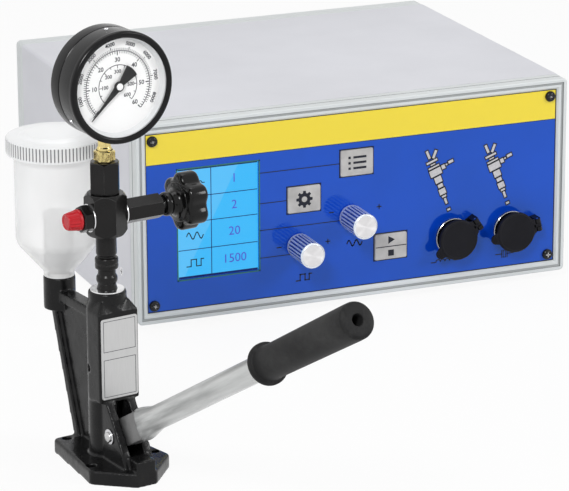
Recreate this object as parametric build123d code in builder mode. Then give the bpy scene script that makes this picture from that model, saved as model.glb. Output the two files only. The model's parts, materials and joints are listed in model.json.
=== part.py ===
from build123d import *
from math import cos, radians, sin, sqrt
import os

os.makedirs("parts", exist_ok=True)

# Diesel injector tester: a hand pump with a pressure gauge, and the electronic driver case beside it.
# Origin on the bench under the pump column's axis. +X runs along the case's front to its right,
# +Y to its back and +Z up. The pump is turned towards the case about its own axis.

# Clearances and overruns, in millimetres
fit_gap = 0.2
seat_gap = 0.3
thread_gap = 0.05
running_gap = 0.05
overrun = 2.0

# Case: overall sizes and place
case_width = 400.0
case_height = 175.0
case_depth = 318.0
case_left = 122.0
case_front = 273.0
foot_height = 8.0
foot_diameter = 20.0
foot_inset = 42.0
foot_recess_diameter = 9.0
foot_recess_depth = 4.0
sheet = 1.6
corner_radius = 3.0

# Case: bezels
bezel_depth = 17.0
rim_width = 3.2
rim_step = 0.8
lip_width = 6.2
lip_fall = 2.0
panel_thickness = 3.0
seat_width = 12.0
seat_thickness = 3.0
skirt_wall = 2.2
skirt_length = 6.0
cover_gap = 0.4

# Case: screws
panel_screw_diameter = 5.0
panel_screw_length = 8.0
panel_screw_head = 9.4
panel_screw_head_height = 3.2
panel_screw_head_edge = 0.8
cover_screw_diameter = 4.0
cover_screw_length = 8.0
cover_screw_head = 7.4
cover_screw_height = 36.5
cover_screw_inset = 41.4
recess_width = 0.9
recess_length = 4.6
recess_depth = 1.2

# Places on the front panel, as shares of the case's width and height from its lower left corner
place_shares = {
    "window": (0.1858, 0.4777),
    "menu": (0.5027, 0.6909),
    "work": (0.3805, 0.5360),
    "start_stop": (0.5830, 0.2394),
    "frequency": (0.4888, 0.4160),
    "pulse_width": (0.3675, 0.3029),
    "solenoid": (0.7325, 0.2457),
    "piezo": (0.8712, 0.2457),
}

# Display
window_width = 73.5
window_height = 96.8
lens_thickness = 2.0
module_margin = 9.0
module_frame_height = 5.0
module_board = 1.6

# Keys
key_width = 30.0
key_height = 23.0
key_proud = 1.6
key_travel = 1.0
key_flange = 1.6
key_flange_thickness = 1.2
key_corner = 1.5
key_chamfer = 0.5
key_stem_diameter = 5.0
key_stem_length = 4.0
switch_size = 6.0
switch_height = 4.0
key_board_thickness = 1.6
key_board_margin = 8.0
spacer_diameter = 5.0
spacer_inset = 3.0

# Control knobs and their potentiometers
knob_diameter = 22.5
knob_length = 33.0
knob_lift = 1.0
knob_chamfer = 1.2
knob_recess_diameter = 14.0
knob_recess_depth = 5.0
shaft_diameter = 6.0
shaft_in_knob = 14.0
bush_diameter = 7.0
bush_proud = 4.0
pot_diameter = 17.0
pot_nut = 10.0
pot_nut_height = 2.0
pot_floor = 2.0

# Injector sockets and their flip caps
socket_flange_diameter = 33.0
socket_flange = 2.0
socket_barrel_diameter = 27.0
socket_barrel = 7.0
socket_bore_diameter = 21.0
socket_bore_depth = 14.0
socket_body_diameter = 25.0
socket_body_length = 24.0
socket_contact_diameter = 2.5
socket_contact_circle = 10.0
socket_contact_depth = 4.0
cap_diameter = 36.0
cap_thickness = 4.0
cap_plug_depth = 1.4
cap_plug_gap = 0.8
cap_tab_reach = 6.5
cap_tab_width = 9.0
cap_tab_thickness = 2.4
cap_tab_step = 0.8
hinge_reach = 22.5
hinge_pin_diameter = 2.0
hinge_knuckle_diameter = 5.4
hinge_knuckle_width = 3.0
hinge_ear_width = 4.0
socket_contacts = 4
socket_nut = 4.0
socket_nut_diameter = 32.0
cap_turn = {"solenoid": 33.0, "piezo": 12.0}

# Power inlet with its rocker, on the rear panel
inlet_side_share = 0.16
inlet_height_share = 0.45
inlet_flange_width = 34.0
inlet_flange_height = 60.0
inlet_flange = 2.5
inlet_body_width = 28.0
inlet_body_height = 48.0
inlet_body_depth = 30.0
inlet_socket_width = 24.4
inlet_socket_height = 16.4
inlet_socket_depth = 20.0
inlet_socket_drop = 12.5
inlet_blade = (2.0, 4.0, 14.0)
inlet_blade_spacing = 7.0
rocker_width = 19.0
rocker_height = 13.0
rocker_rise = 12.5
rocker_depth = 9.0
rocker_tilt = 7.0
rocker_pin_diameter = 2.4
rocker_pin_depth = 2.0
rocker_round = 0.5
rocker_dish = 0.6
rocker_proud = 1.6
rocker_space = 14.0
rear_panel_thickness = 3.0
vent_width = 2.6
vent_length = 46.0
vent_pitch = 8.0
vent_count = 14
vent_side_share = 0.64
vent_height_share = 0.5

# Inside the case
tray_flange_height = 52.0
tray_inset = 24.0
screw_reach = 10.0
post_diameter = 9.0
post_height = 14.0
board_width_share = 0.625
board_depth_share = 0.6
board_thickness = 1.6
board_inset = 8.0
transformer_size = (52.0, 44.0, 40.0)
supply_margin = 8.0
supply_inset = 26.4
heat_sink_size = (70.0, 16.0, 34.0)
capacitor_diameter = 22.0
capacitor_height = 36.0
capacitor_pitch = 28.0
chip_size = (30.0, 18.0, 6.0)

# Pump: overall sizes
pump_turn = 10.0
base_thickness = 11.0
base_rear = 47.0
base_rear_half = 24.0
base_wide_front = 30.0
base_wide_half = 34.5
base_nose_front = 55.5
base_nose_half = 8.5
base_corner = 4.0
base_edge = 1.2
rear_hole_back = 41.0
rear_hole_half = 15.0
front_hole_front = 19.5
front_hole_half = 27.5
mount_hole_diameter = 7.0
nose_pad_height = 20.0
nose_pad_back = 40.0
nose_pad_half = 8.0

# Pump: column
column_radius = 16.3
column_shoulder = 127.0
collar_radius = 14.4
collar_rise = 5.0
column_top = 140.0
collar_edge = 1.0
bore_radius = 11.0
chamber_radius = 9.9
chamber_bottom = 24.0
boss_front = 16.5
boss_half = 17.0
boss_back = 2.0
boss_bottom = 56.0
boss_top = 126.0
boss_slope = 8.0
boss_taper = 32.0
ear_half = 12.6
slot_half = 5.9
slot_floor = 14.0
slot_back = 12.5
ear_mid_front = 25.0
ear_mid_height = 46.5
ear_low_front = 40.5
ear_low_height = 23.0
ear_foot_front = 45.0
ear_overlap = 2.0
lock_hole_diameter = 6.0
lock_hole_height = 80.0
lock_hole_depth = 4.0
lock_hole_back = 2.0

# Pump: arm, cup and gusset that carry the reservoir
arm_half = 6.5
arm_top = 121.0
arm_bottom = 113.0
cup_back = 75.0
cup_radius = 12.4
cup_top = 131.0
cup_bottom = 105.0
cup_floor = 4.0
strut_width = 8.0
strut_foot_back = 44.0
strut_head_back = 79.0
web_half = 3.0
feed_height = 115.0
feed_radius = 1.5

# Pump: barrel, plunger and spring
barrel_bottom = 80.0
barrel_top = 120.0
plunger_radius = 4.5
plunger_top = 108.0
tappet_height = 4.0
tappet_radius = 9.5
tappet_drop = 3.0
tappet_gap = 0.1
spring_outer_radius = 8.6
spring_inner_radius = 5.6

# Pump: lever
pin_front = 22.0
pin_height = 31.5
pin_radius = 4.0
pin_groove_radius = 3.2
pin_end = 2.6
clip_thickness = 0.9
clip_outer_radius = 6.0
clip_opening = 4.4
lever_rise_angle = 29.66
head_half = 5.4
head_hub_radius = 9.4
tongue_half_height = 11.0
tongue_length = 36.0
tongue_flare = 8.0
nose_arm = 20.0
nose_arm_half = 2.8
nose_arm_bite = 0.8
nose_dip_angle = 14.0
nose_radius = 4.5
tube_start = 39.0
tube_radius = 9.3
tube_wall = 1.6
tube_end = 350.0
spigot_length = 22.0
grip_start = 234.0
grip_end = 366.0
grip_radius = 12.6
grip_end_radius = 13.4
grip_flange_radius = 15.6
grip_flange = 3.5
grip_round = 1.6
grip_hole_radius = 4.2

# Pump: delivery parts above the column
washer_thickness = 0.8
collar_washer_radius = 13.0
holder_radius = 7.7
holder_top = 153.0
holder_thread_radius = 6.9
holder_thread_top = 160.0
passage_radius = 2.0
nut_bottom = 156.5
nut_top = 165.8
nut_radius = 8.8
nut_edge = 0.8
nut_shoulder = 163.0
neck_radius = 7.8
spigot_radius = 5.5
block_bottom = 183.5
block_top = 215.5
block_flats = 28.0
port_radius = 5.0
port_depth = 6.0
valve_height = 198.0

# Pump: shut-off valve and outlet
bonnet_flats = 17.0
bonnet_end = 46.0
bonnet_washer_radius = 9.6
hex_edge = 0.9
spindle_radius = 4.0
spindle_tip = 19.0
spindle_cone = 4.0
valve_hub_start = 49.0
valve_hub_radius = 9.2
valve_star_start = 61.5
valve_star_end = 78.0
valve_core_radius = 17.8
valve_lobe_radius = 7.0
valve_lobe_circle = 15.5
valve_lobes = 6
valve_star_edge = 2.0
outlet_flats = 18.5
outlet_hex = 7.4
outlet_washer_radius = 10.6
outlet_nipple_radius = 5.0
outlet_nipple = 8.5
cap_end_radius = 6.4
cap_root_radius = 8.2
cap_length = 11.4
cap_round = 1.6

# Pump: pressure gauge
adapter_flats = 21.0
adapter_top = 240.0
adapter_angle = 58.0
stem_angle = 28.0
stem_flats = 14.0
stem_hex_top = 248.5
stem_radius = 4.8
stem_thread_radius = 4.6
stem_thread_depth = 10.0
gauge_height = 302.0
gauge_back = 6.0
gauge_front = 29.8
gauge_seam = 8.0
gauge_case_radius = 41.4
gauge_case_wall = 1.4
gauge_rim_step = 0.8
gauge_back_round = 3.0
ring_radius = 42.3
ring_inner_radius = 37.2
ring_flange = 5.0
ring_edge = 1.5
lens_back = 26.7
lens_front = 28.5
dial_depth = 21.6
dial_thickness = 0.8
dial_wall = 0.8
needle_plane = 23.9
needle_thickness = 0.7
needle_angle = 225.0
needle_length = 33.0
needle_tip_half = 0.5
needle_root_half = 2.6
needle_tail = 16.3
needle_tail_half = 6.4
hub_radius = 2.9
hub_height = 2.4
arbor_radius = 1.2
tube_loop_radius = 24.0
tube_loop_half = 3.0
tube_loop_thickness = 4.0
loop_gap = 6.0
socket_block_half = 5.0
movement_half = 10.0
movement_plate = 1.2
movement_gap = 1.4
pillar_radius = 1.4
pillar_spread = 7.0
ring_screw_radius = 1.7
ring_screw_head = 1.0
ring_screw_shank = 0.9
ring_screw_front = 13.0
ring_screw_angles = (95.0, 215.0, 335.0)

# Pump: reservoir
reservoir_radius = 32.5
reservoir_wall = 1.8
reservoir_neck_radius = 9.0
reservoir_neck_bottom = 118.0
reservoir_collar_radius = 11.9
reservoir_collar = 4.0
reservoir_shoulder = 159.0
reservoir_body_top = 225.0
reservoir_rim_radius = 35.6
reservoir_rim_bottom = 229.0
reservoir_rim_top = 240.0
lid_radius = 38.4
lid_bottom = 229.6
lid_wall = 2.2
lid_crown_radius = 24.0
lid_crown = 3.0
lid_edge = 1.2
strainer_radius = 12.0
strainer_top = 181.0
strainer_wall = 1.5
strainer_knob_radius = 3.0
strainer_knob = 3.0

# Pump: label plate
label_width = 31.0
label_height = 63.5
label_middle = 91.0
label_thickness = 0.8
label_corner = 2.0

# Derived directions and places of the pump
pump_right = (cos(radians(pump_turn)), sin(radians(pump_turn)), 0)
pump_forward = (sin(radians(pump_turn)), -cos(radians(pump_turn)), 0)
mount_holes = [
    (-rear_hole_half, -rear_hole_back),
    (rear_hole_half, -rear_hole_back),
    (-front_hole_half, front_hole_front),
    (front_hole_half, front_hole_front),
]

# Derived sizes of the case
panel_width = case_width - 2 * (rim_width + lip_width)
panel_height = case_height - 2 * (rim_width + lip_width)
panel_recess = rim_step + lip_fall
screw_inset = rim_width + lip_width + seat_width / 2
case_middle = case_left + case_width / 2
case_mid_height = foot_height + case_height / 2
front_face = Plane((case_middle, case_front, case_mid_height), x_dir=(1, 0, 0), z_dir=(0, -1, 0))
case_back = case_front + case_depth
rear_face = Plane((case_middle, case_back, case_mid_height), x_dir=(-1, 0, 0), z_dir=(0, 1, 0))
case_floor = Plane((case_middle, case_front + case_depth / 2, foot_height))
screw_hole = panel_screw_diameter / 2 + fit_gap
panel_screw_places = [
    Location((across * (case_width / 2 - screw_inset), up * (case_height / 2 - screw_inset), 0))
    for across in (-1, 1)
    for up in (-1, 1)
]


# Point on the pump, from distances to its right, to its front and up
def pump_point(right=0.0, front=0.0, up=0.0):
    return Vector(*pump_right) * right + Vector(*pump_forward) * front + Vector(0, 0, up)


# Level plane on the pump: x to its right, y to its back
def level(right=0.0, front=0.0, up=0.0):
    return Plane(pump_point(right, front, up), x_dir=pump_right, z_dir=(0, 0, 1))


# Upright plane that faces the pump's front: x to its right, y up
def facing(front=0.0, right=0.0, up=0.0):
    return Plane(pump_point(right, front, up), x_dir=pump_right, z_dir=pump_forward)


# Upright plane along the pump's middle: x to its front, y up, facing its left
def flank(right=0.0, front=0.0, up=0.0):
    return Plane(pump_point(right, front, up), x_dir=pump_forward, z_dir=Vector(*pump_right) * -1)


# Plane across the gauge's screws: z points away from the gauge's axis at "angle" degrees from its right
def radial(angle):
    outward = Vector(*pump_right) * cos(radians(angle)) + Vector(0, 0, 1) * sin(radians(angle))
    return Plane(pump_point(front=ring_screw_front, up=gauge_height), x_dir=pump_forward, z_dir=outward)


# Plane at a control's place, "out" in front of the panel, turned in the panel by "angle" degrees
def panel_spot(name, out=0.0, angle=0.0):
    across_share, up_share = place_shares[name]
    spot = (
        case_left + across_share * case_width,
        case_front + panel_recess - out,
        foot_height + up_share * case_height,
    )
    return Plane(spot, x_dir=(cos(radians(angle)), 0, sin(radians(angle))), z_dir=(0, -1, 0))


# Plane of a cover screw's head, on the left (-1) or right (1) side, "back" behind the case's front
def cover_screw_spot(side, back):
    spot = (case_middle + side * case_width / 2, case_front + back, foot_height + cover_screw_height)
    return Plane(spot, x_dir=(0, side, 0), z_dir=(side, 0, 0))


# Solid turned about the axis of the plane "face" from (radius, height) corners, some softened by "rounds"
def turned(face, *corners, rounds=None, mode=Mode.ADD):
    with BuildSketch(Plane(face.origin, x_dir=face.x_dir, z_dir=face.y_dir * -1)) as profile:
        with BuildLine():
            Polyline(*corners, close=True)
        make_face()
        for corner, radius in (rounds or {}).items():
            fillet(profile.vertices().sort_by_distance(corner)[0], radius)
    return revolve(profile.sketch, axis=Axis(face.origin, face.z_dir), mode=mode)


# Disc or plain cylinder between two heights above the plane "face"
def disc(face, radius, start, end, mode=Mode.ADD):
    with BuildSketch(face.offset(start)) as profile:
        Circle(radius)
    return extrude(profile.sketch, amount=end - start, mode=mode)


# Rectangular block between two heights above the plane "face"
def block(face, width, height, start, end, mode=Mode.ADD):
    with BuildSketch(face.offset(start)) as profile:
        Rectangle(width, height)
    return extrude(profile.sketch, amount=end - start, mode=mode)


# Hexagonal bar on the plane "face", with its corners turned off at both ends
def hexagon(face, flats, start, end, angle=0.0):
    corner = flats / sqrt(3)
    with BuildSketch(face.offset(start)) as profile:
        RegularPolygon(flats / 2, 6, major_radius=False, rotation=angle)
    extrude(profile.sketch, amount=end - start)
    for height, inward in ((start, 1), (end, -1)):
        turned(
            face,
            (corner - 2 * hex_edge, height),
            (corner, height + inward * hex_edge),
            (corner + hex_edge, height + inward * hex_edge),
            (corner + hex_edge, height),
            mode=Mode.SUBTRACT,
        )


# Pan head screw with a cross recess, its head standing on the plane "face"
def pan_screw(face):
    head = panel_screw_head / 2
    top = panel_screw_head_height
    head_round = top - panel_screw_head_edge
    turned(face, (0, 0), (head, 0), (head, top), (0, top), rounds={(head, top): head_round})
    disc(face, panel_screw_diameter / 2, -panel_screw_length, 0)
    block(face, recess_length, recess_width, top - recess_depth, top + overrun, mode=Mode.SUBTRACT)
    block(face, recess_width, recess_length, top - recess_depth, top + overrun, mode=Mode.SUBTRACT)


# Countersunk screw, its head flush with the plane "face"
def flat_screw(face):
    head = cover_screw_head / 2
    shank = cover_screw_diameter / 2
    end = -cover_screw_length
    turned(face, (0, 0), (head, 0), (shank, shank - head), (shank, end), (0, end))
    block(face, recess_length, recess_width, -recess_depth, overrun, mode=Mode.SUBTRACT)
    block(face, recess_width, recess_length, -recess_depth, overrun, mode=Mode.SUBTRACT)


# Bezels: a stepped rim, a lip that slopes to the panel, a seat for the panel and a skirt under the cover
skirt_width = case_width - 2 * (sheet + fit_gap)
skirt_height = case_height - 2 * (sheet + fit_gap)
for name, face in (("front_bezel", front_face), ("rear_bezel", rear_face)):
    with BuildPart() as bezel:
        with BuildSketch(face):
            RectangleRounded(case_width, case_height, corner_radius)
        extrude(amount=-bezel_depth)
        with BuildSketch(face.offset(-bezel_depth)):
            Rectangle(skirt_width, skirt_height)
        extrude(amount=-skirt_length)
        with BuildSketch(face):
            Rectangle(case_width - 2 * rim_width, case_height - 2 * rim_width)
        extrude(amount=-rim_step, mode=Mode.SUBTRACT)
        with BuildSketch(face.offset(-rim_step)):
            Rectangle(case_width - 2 * rim_width, case_height - 2 * rim_width)
        with BuildSketch(face.offset(-panel_recess)):
            Rectangle(panel_width + 2 * fit_gap, panel_height + 2 * fit_gap)
        loft(mode=Mode.SUBTRACT)
        with BuildSketch(face.offset(-panel_recess)):
            Rectangle(panel_width + 2 * fit_gap, panel_height + 2 * fit_gap)
        extrude(amount=-panel_thickness, mode=Mode.SUBTRACT)
        with BuildSketch(face.offset(-panel_recess - panel_thickness)):
            Rectangle(panel_width - 2 * seat_width, panel_height - 2 * seat_width)
        extrude(amount=-seat_thickness, mode=Mode.SUBTRACT)
        with BuildSketch(face.offset(-panel_recess - panel_thickness - seat_thickness)):
            Rectangle(skirt_width - 2 * skirt_wall, skirt_height - 2 * skirt_wall)
        extrude(amount=-bezel_depth - skirt_length, mode=Mode.SUBTRACT)
        with BuildSketch(face):
            with GridLocations(case_width - 2 * screw_inset, case_height - 2 * screw_inset, 2, 2):
                Circle(panel_screw_diameter / 2 + thread_gap)
        extrude(amount=-bezel_depth, mode=Mode.SUBTRACT)
    bezel.part.label = name
    export_step(bezel.part, f"parts/{name}.step")

# Top cover: one folded sheet over the top and both sides
cover_length = case_depth - 2 * (bezel_depth + cover_gap)
cover_screws_back = (cover_screw_inset, case_depth - cover_screw_inset)
with BuildPart() as top_cover:
    with BuildSketch(front_face.offset(-bezel_depth - cover_gap)):
        Rectangle(case_width, case_height)
        fillet(vertices().group_by(Axis.Y)[-1], corner_radius)
        with Locations((0, -sheet)):
            Rectangle(case_width - 2 * sheet, case_height, mode=Mode.SUBTRACT)
    extrude(amount=-cover_length)
    for side in (-1, 1):
        for back in cover_screws_back:
            with Locations(cover_screw_spot(side, back)):
                hole = cover_screw_diameter / 2 + fit_gap
                CounterSinkHole(hole, cover_screw_head / 2 + fit_gap, depth=2 * sheet)
top_cover.part.label = "top_cover"
export_step(top_cover.part, "parts/top_cover.step")

# Base tray: floor sheet, two side flanges that the cover is screwed to, and posts for the main board
tray_width = case_width - 2 * (sheet + fit_gap)
flange_length = cover_length - 2 * (skirt_length + cover_gap)
board_width = board_width_share * case_width
board_depth = board_depth_share * case_depth
board_left = case_left + sheet + tray_inset + board_width / 2
board_middle = Plane((board_left, case_front + case_depth / 2, foot_height + sheet))
with BuildPart() as base_tray:
    block(case_floor, tray_width, cover_length, 0, sheet)
    for side in (-1, 1):
        with BuildSketch(case_floor) as flange:
            with Locations((side * (tray_width - sheet) / 2, 0)):
                Rectangle(sheet, flange_length)
        extrude(flange.sketch, amount=tray_flange_height)
        for back in cover_screws_back:
            tapped = cover_screw_diameter / 2 + thread_gap
            disc(cover_screw_spot(side, back), tapped, -screw_reach, 0, Mode.SUBTRACT)
    with BuildSketch(board_middle) as posts:
        with GridLocations(board_width - 2 * board_inset, board_depth - 2 * board_inset, 2, 2):
            Circle(post_diameter / 2)
    extrude(posts.sketch, amount=post_height)
base_tray.part.label = "base_tray"
export_step(base_tray.part, "parts/base_tray.step")

# Feet: rubber buttons under the tray's corners
with BuildPart() as case_feet:
    for across in (-1, 1):
        for along in (-1, 1):
            foot = Plane(
                (
                    case_middle + across * (case_width / 2 - foot_inset),
                    case_front + case_depth / 2 + along * (case_depth / 2 - foot_inset),
                    0,
                )
            )
            disc(foot, foot_diameter / 2, 0, foot_height)
            disc(foot, foot_recess_diameter / 2, 0, foot_recess_depth, Mode.SUBTRACT)
case_feet.part.label = "case_feet"
export_step(case_feet.part, "parts/case_feet.step")

# Front panel: cut out for the window, the keys, the shaft bushes and the sockets
keys = ("menu", "work", "start_stop")
dials = ("frequency", "pulse_width")
sockets = ("solenoid", "piezo")
with BuildPart() as front_panel:
    block(front_face.offset(-panel_recess), panel_width, panel_height, -panel_thickness, 0)
    block(panel_spot("window"), window_width, window_height, -panel_thickness, 0, Mode.SUBTRACT)
    for key in keys:
        with BuildSketch(panel_spot(key)) as key_hole:
            RectangleRounded(key_width + 2 * fit_gap, key_height + 2 * fit_gap, key_corner)
        extrude(key_hole.sketch, amount=-panel_thickness, mode=Mode.SUBTRACT)
    for dial in dials:
        disc(panel_spot(dial), bush_diameter / 2 + fit_gap, -panel_thickness, 0, Mode.SUBTRACT)
    for socket in sockets:
        disc(panel_spot(socket), socket_body_diameter / 2 + fit_gap, -panel_thickness, 0, Mode.SUBTRACT)
    for place in panel_screw_places:
        spot = Plane(front_face.offset(-panel_recess).location * place)
        disc(spot, screw_hole, -panel_thickness, 0, Mode.SUBTRACT)
front_panel.part.label = "front_panel"
export_step(front_panel.part, "parts/front_panel.step")

# Rear panel: cut out for the power inlet, with a row of ventilation slots
inlet_across = inlet_side_share * case_width - case_width / 2
inlet_rise = inlet_height_share * case_height - case_height / 2
vent_across = vent_side_share * case_width - case_width / 2
vent_rise = vent_height_share * case_height - case_height / 2
inlet_spot = Plane(rear_face.offset(-panel_recess).location * Location((inlet_across, inlet_rise, 0)))
vent_spot = Plane(rear_face.offset(-panel_recess).location * Location((vent_across, vent_rise, 0)))
with BuildPart() as rear_panel:
    block(rear_face.offset(-panel_recess), panel_width, panel_height, -rear_panel_thickness, 0)
    block(
        inlet_spot, inlet_body_width + 2 * fit_gap, inlet_body_height + 2 * fit_gap, -rear_panel_thickness, 0,
        Mode.SUBTRACT,
    )
    with BuildSketch(vent_spot) as vents:
        with GridLocations(vent_pitch, 0, vent_count, 1):
            SlotOverall(vent_length, vent_width, rotation=90)
    extrude(vents.sketch, amount=-rear_panel_thickness, mode=Mode.SUBTRACT)
    for place in panel_screw_places:
        disc(
            Plane(rear_face.offset(-panel_recess).location * place), screw_hole, -rear_panel_thickness, 0,
            Mode.SUBTRACT,
        )
rear_panel.part.label = "rear_panel"
export_step(rear_panel.part, "parts/rear_panel.step")

# Panel screws: four in front and four behind
with BuildPart() as panel_screws:
    for face in (front_face, rear_face):
        for place in panel_screw_places:
            pan_screw(Plane(face.offset(-panel_recess).location * place))
panel_screws.part.label = "panel_screws"
export_step(panel_screws.part, "parts/panel_screws.step")

# Cover screws: two on each side
with BuildPart() as cover_screws:
    for side in (-1, 1):
        for back in cover_screws_back:
            flat_screw(cover_screw_spot(side, back))
cover_screws.part.label = "cover_screws"
export_step(cover_screws.part, "parts/cover_screws.step")

# Display lens: flush in the panel's window, its back on the display module
window = panel_spot("window")
with BuildPart() as display_lens:
    block(window, window_width - 2 * fit_gap, window_height - 2 * fit_gap, -lens_thickness, 0)
display_lens.part.label = "display_lens"
export_step(display_lens.part, "parts/display_lens.step")

# Display module: glass in a frame on its circuit board, with spacers to the panel's back
module_width = window_width + 2 * module_margin
module_height = window_height + 2 * module_margin
module_face = -panel_thickness - module_frame_height
with BuildPart() as display_module:
    block(window, window_width - 2 * fit_gap, window_height - 2 * fit_gap, module_face, -lens_thickness)
    block(window, module_width, module_height, module_face - module_board, module_face)
    with BuildSketch(window.offset(module_face)) as spacers:
        with GridLocations(module_width - 2 * spacer_inset, module_height - 2 * spacer_inset, 2, 2):
            Circle(spacer_diameter / 2)
    extrude(spacers.sketch, amount=module_frame_height)
display_module.part.label = "display_module"
export_step(display_module.part, "parts/display_module.step")

# Keys: a rounded cap that stands a little proud, a flange behind the panel and a stem towards its switch
key_flange_back = -panel_thickness - seat_gap - key_flange_thickness
for key in keys:
    spot = panel_spot(key)
    with BuildPart() as key_cap:
        with BuildSketch(spot.offset(key_proud)) as cap_face:
            RectangleRounded(key_width, key_height, key_corner)
        extrude(cap_face.sketch, amount=key_flange_back - key_proud)
        chamfer(key_cap.faces().sort_by(Axis.Y)[0].edges(), key_chamfer)
        block(
            spot, key_width + 2 * key_flange, key_height + 2 * key_flange, key_flange_back,
            key_flange_back + key_flange_thickness,
        )
        disc(spot, key_stem_diameter / 2, key_flange_back - key_stem_length, key_flange_back)
    key_cap.part.label = f"{key}_key"
    export_step(key_cap.part, f"parts/{key}_key.step")

# Key board: circuit board behind the keys, with a switch under each stem and spacers to the panel
switch_top = key_flange_back - key_stem_length - key_travel - running_gap
key_board_face = switch_top - switch_height
key_middles = [panel_spot(key).origin for key in keys]
key_left = min(middle.X for middle in key_middles) - key_width / 2 - key_board_margin
key_right = max(middle.X for middle in key_middles) + key_width / 2 + key_board_margin
key_low = min(middle.Z for middle in key_middles) - key_height / 2 - key_board_margin
key_high = max(middle.Z for middle in key_middles) + key_height / 2 + key_board_margin
key_board_width = key_right - key_left
key_board_height = key_high - key_low
key_board_spot = Plane(
    ((key_left + key_right) / 2, case_front + panel_recess, (key_low + key_high) / 2),
    x_dir=(1, 0, 0),
    z_dir=(0, -1, 0),
)
with BuildPart() as key_board:
    key_board_rear = key_board_face - key_board_thickness
    block(key_board_spot, key_board_width, key_board_height, key_board_rear, key_board_face)
    for key in keys:
        block(panel_spot(key), switch_size, switch_size, key_board_face, switch_top)
    with BuildSketch(key_board_spot.offset(key_board_face)) as spacers:
        with GridLocations(key_board_width - 2 * spacer_inset, key_board_height - 2 * spacer_inset, 2, 2):
            Circle(spacer_diameter / 2)
    extrude(spacers.sketch, amount=-panel_thickness - key_board_face)
key_board.part.label = "key_board"
export_step(key_board.part, "parts/key_board.step")

# Potentiometers: body behind the panel, bush through it and a nut in front, hidden in the knob
with BuildPart() as control_pots:
    for dial in dials:
        spot = panel_spot(dial)
        disc(spot, pot_diameter / 2, key_board_face, -panel_thickness)
        disc(spot, bush_diameter / 2, -panel_thickness, bush_proud)
        with BuildSketch(spot) as nut:
            RegularPolygon(pot_nut / 2, 6, major_radius=False)
        extrude(nut.sketch, amount=pot_nut_height)
        disc(spot, shaft_diameter / 2 + running_gap, key_board_face + pot_floor, bush_proud, Mode.SUBTRACT)
control_pots.part.label = "control_pots"
export_step(control_pots.part, "parts/control_pots.step")

# Knobs and shafts: a turned knob, hollow at the back over the bush, on a round shaft
for dial in dials:
    spot = panel_spot(dial)
    shaft_end = knob_lift + knob_recess_depth + shaft_in_knob
    with BuildPart() as shaft:
        disc(spot, shaft_diameter / 2, key_board_face + pot_floor + running_gap, shaft_end)
    shaft.part.label = f"{dial}_shaft"
    export_step(shaft.part, f"parts/{dial}_shaft.step")
    with BuildPart() as knob:
        rim = knob_diameter / 2
        turned(
            spot,
            (0, knob_lift),
            (rim, knob_lift),
            (rim, knob_lift + knob_length - knob_chamfer),
            (rim - knob_chamfer, knob_lift + knob_length),
            (0, knob_lift + knob_length),
        )
        disc(spot, knob_recess_diameter / 2, knob_lift, knob_lift + knob_recess_depth, Mode.SUBTRACT)
        disc(spot, shaft_diameter / 2 + thread_gap, knob_lift, shaft_end, Mode.SUBTRACT)
    knob.part.label = f"{dial}_knob"
    export_step(knob.part, f"parts/{dial}_knob.step")

# Injector sockets: flanged barrel through the panel, contact holes in its floor, hinge ears, nut behind
socket_top = socket_flange + socket_barrel
cap_bottom = socket_top + seat_gap
hinge_up = cap_bottom + hinge_pin_diameter / 2
knuckle_half = hinge_knuckle_width / 2
ear_inner = knuckle_half + fit_gap
ear_outer = ear_inner + hinge_ear_width
for socket in sockets:
    spot = panel_spot(socket, angle=cap_turn[socket])
    hinge = Plane(spot.location * Location((hinge_reach, 0, hinge_up), (90, 0, 0)))
    with BuildPart() as barrel:
        disc(spot, socket_body_diameter / 2, -socket_body_length, 0)
        disc(spot, socket_flange_diameter / 2, 0, socket_flange)
        disc(spot, socket_barrel_diameter / 2, socket_flange, socket_top)
        with BuildSketch(spot) as foot:
            with Locations((hinge_reach / 2 + hinge_knuckle_diameter / 4, 0)):
                Rectangle(hinge_reach + hinge_knuckle_diameter / 2, 2 * ear_outer)
        extrude(foot.sketch, amount=socket_flange)
        for side in (-1, 1):
            with BuildSketch(spot) as ear:
                with Locations((hinge_reach, side * (ear_inner + hinge_ear_width / 2))):
                    Rectangle(hinge_knuckle_diameter, hinge_ear_width)
            extrude(ear.sketch, amount=hinge_up)
            disc(hinge, hinge_knuckle_diameter / 2, side * ear_inner, side * ear_outer)
        disc(hinge, hinge_pin_diameter / 2 + thread_gap, -ear_outer, ear_outer, Mode.SUBTRACT)
        disc(spot, socket_bore_diameter / 2, socket_top - socket_bore_depth, socket_top, Mode.SUBTRACT)
        with BuildSketch(spot.offset(socket_top - socket_bore_depth)) as contacts:
            with PolarLocations(socket_contact_circle / 2, socket_contacts):
                Circle(socket_contact_diameter / 2)
        extrude(contacts.sketch, amount=-socket_contact_depth, mode=Mode.SUBTRACT)
        with BuildSketch(spot.offset(-panel_thickness)) as nut:
            Circle(socket_nut_diameter / 2)
            Circle(socket_body_diameter / 2 + thread_gap, mode=Mode.SUBTRACT)
        extrude(nut.sketch, amount=-socket_nut)
    barrel.part.label = f"{socket}_socket"
    export_step(barrel.part, f"parts/{socket}_socket.step")

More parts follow.
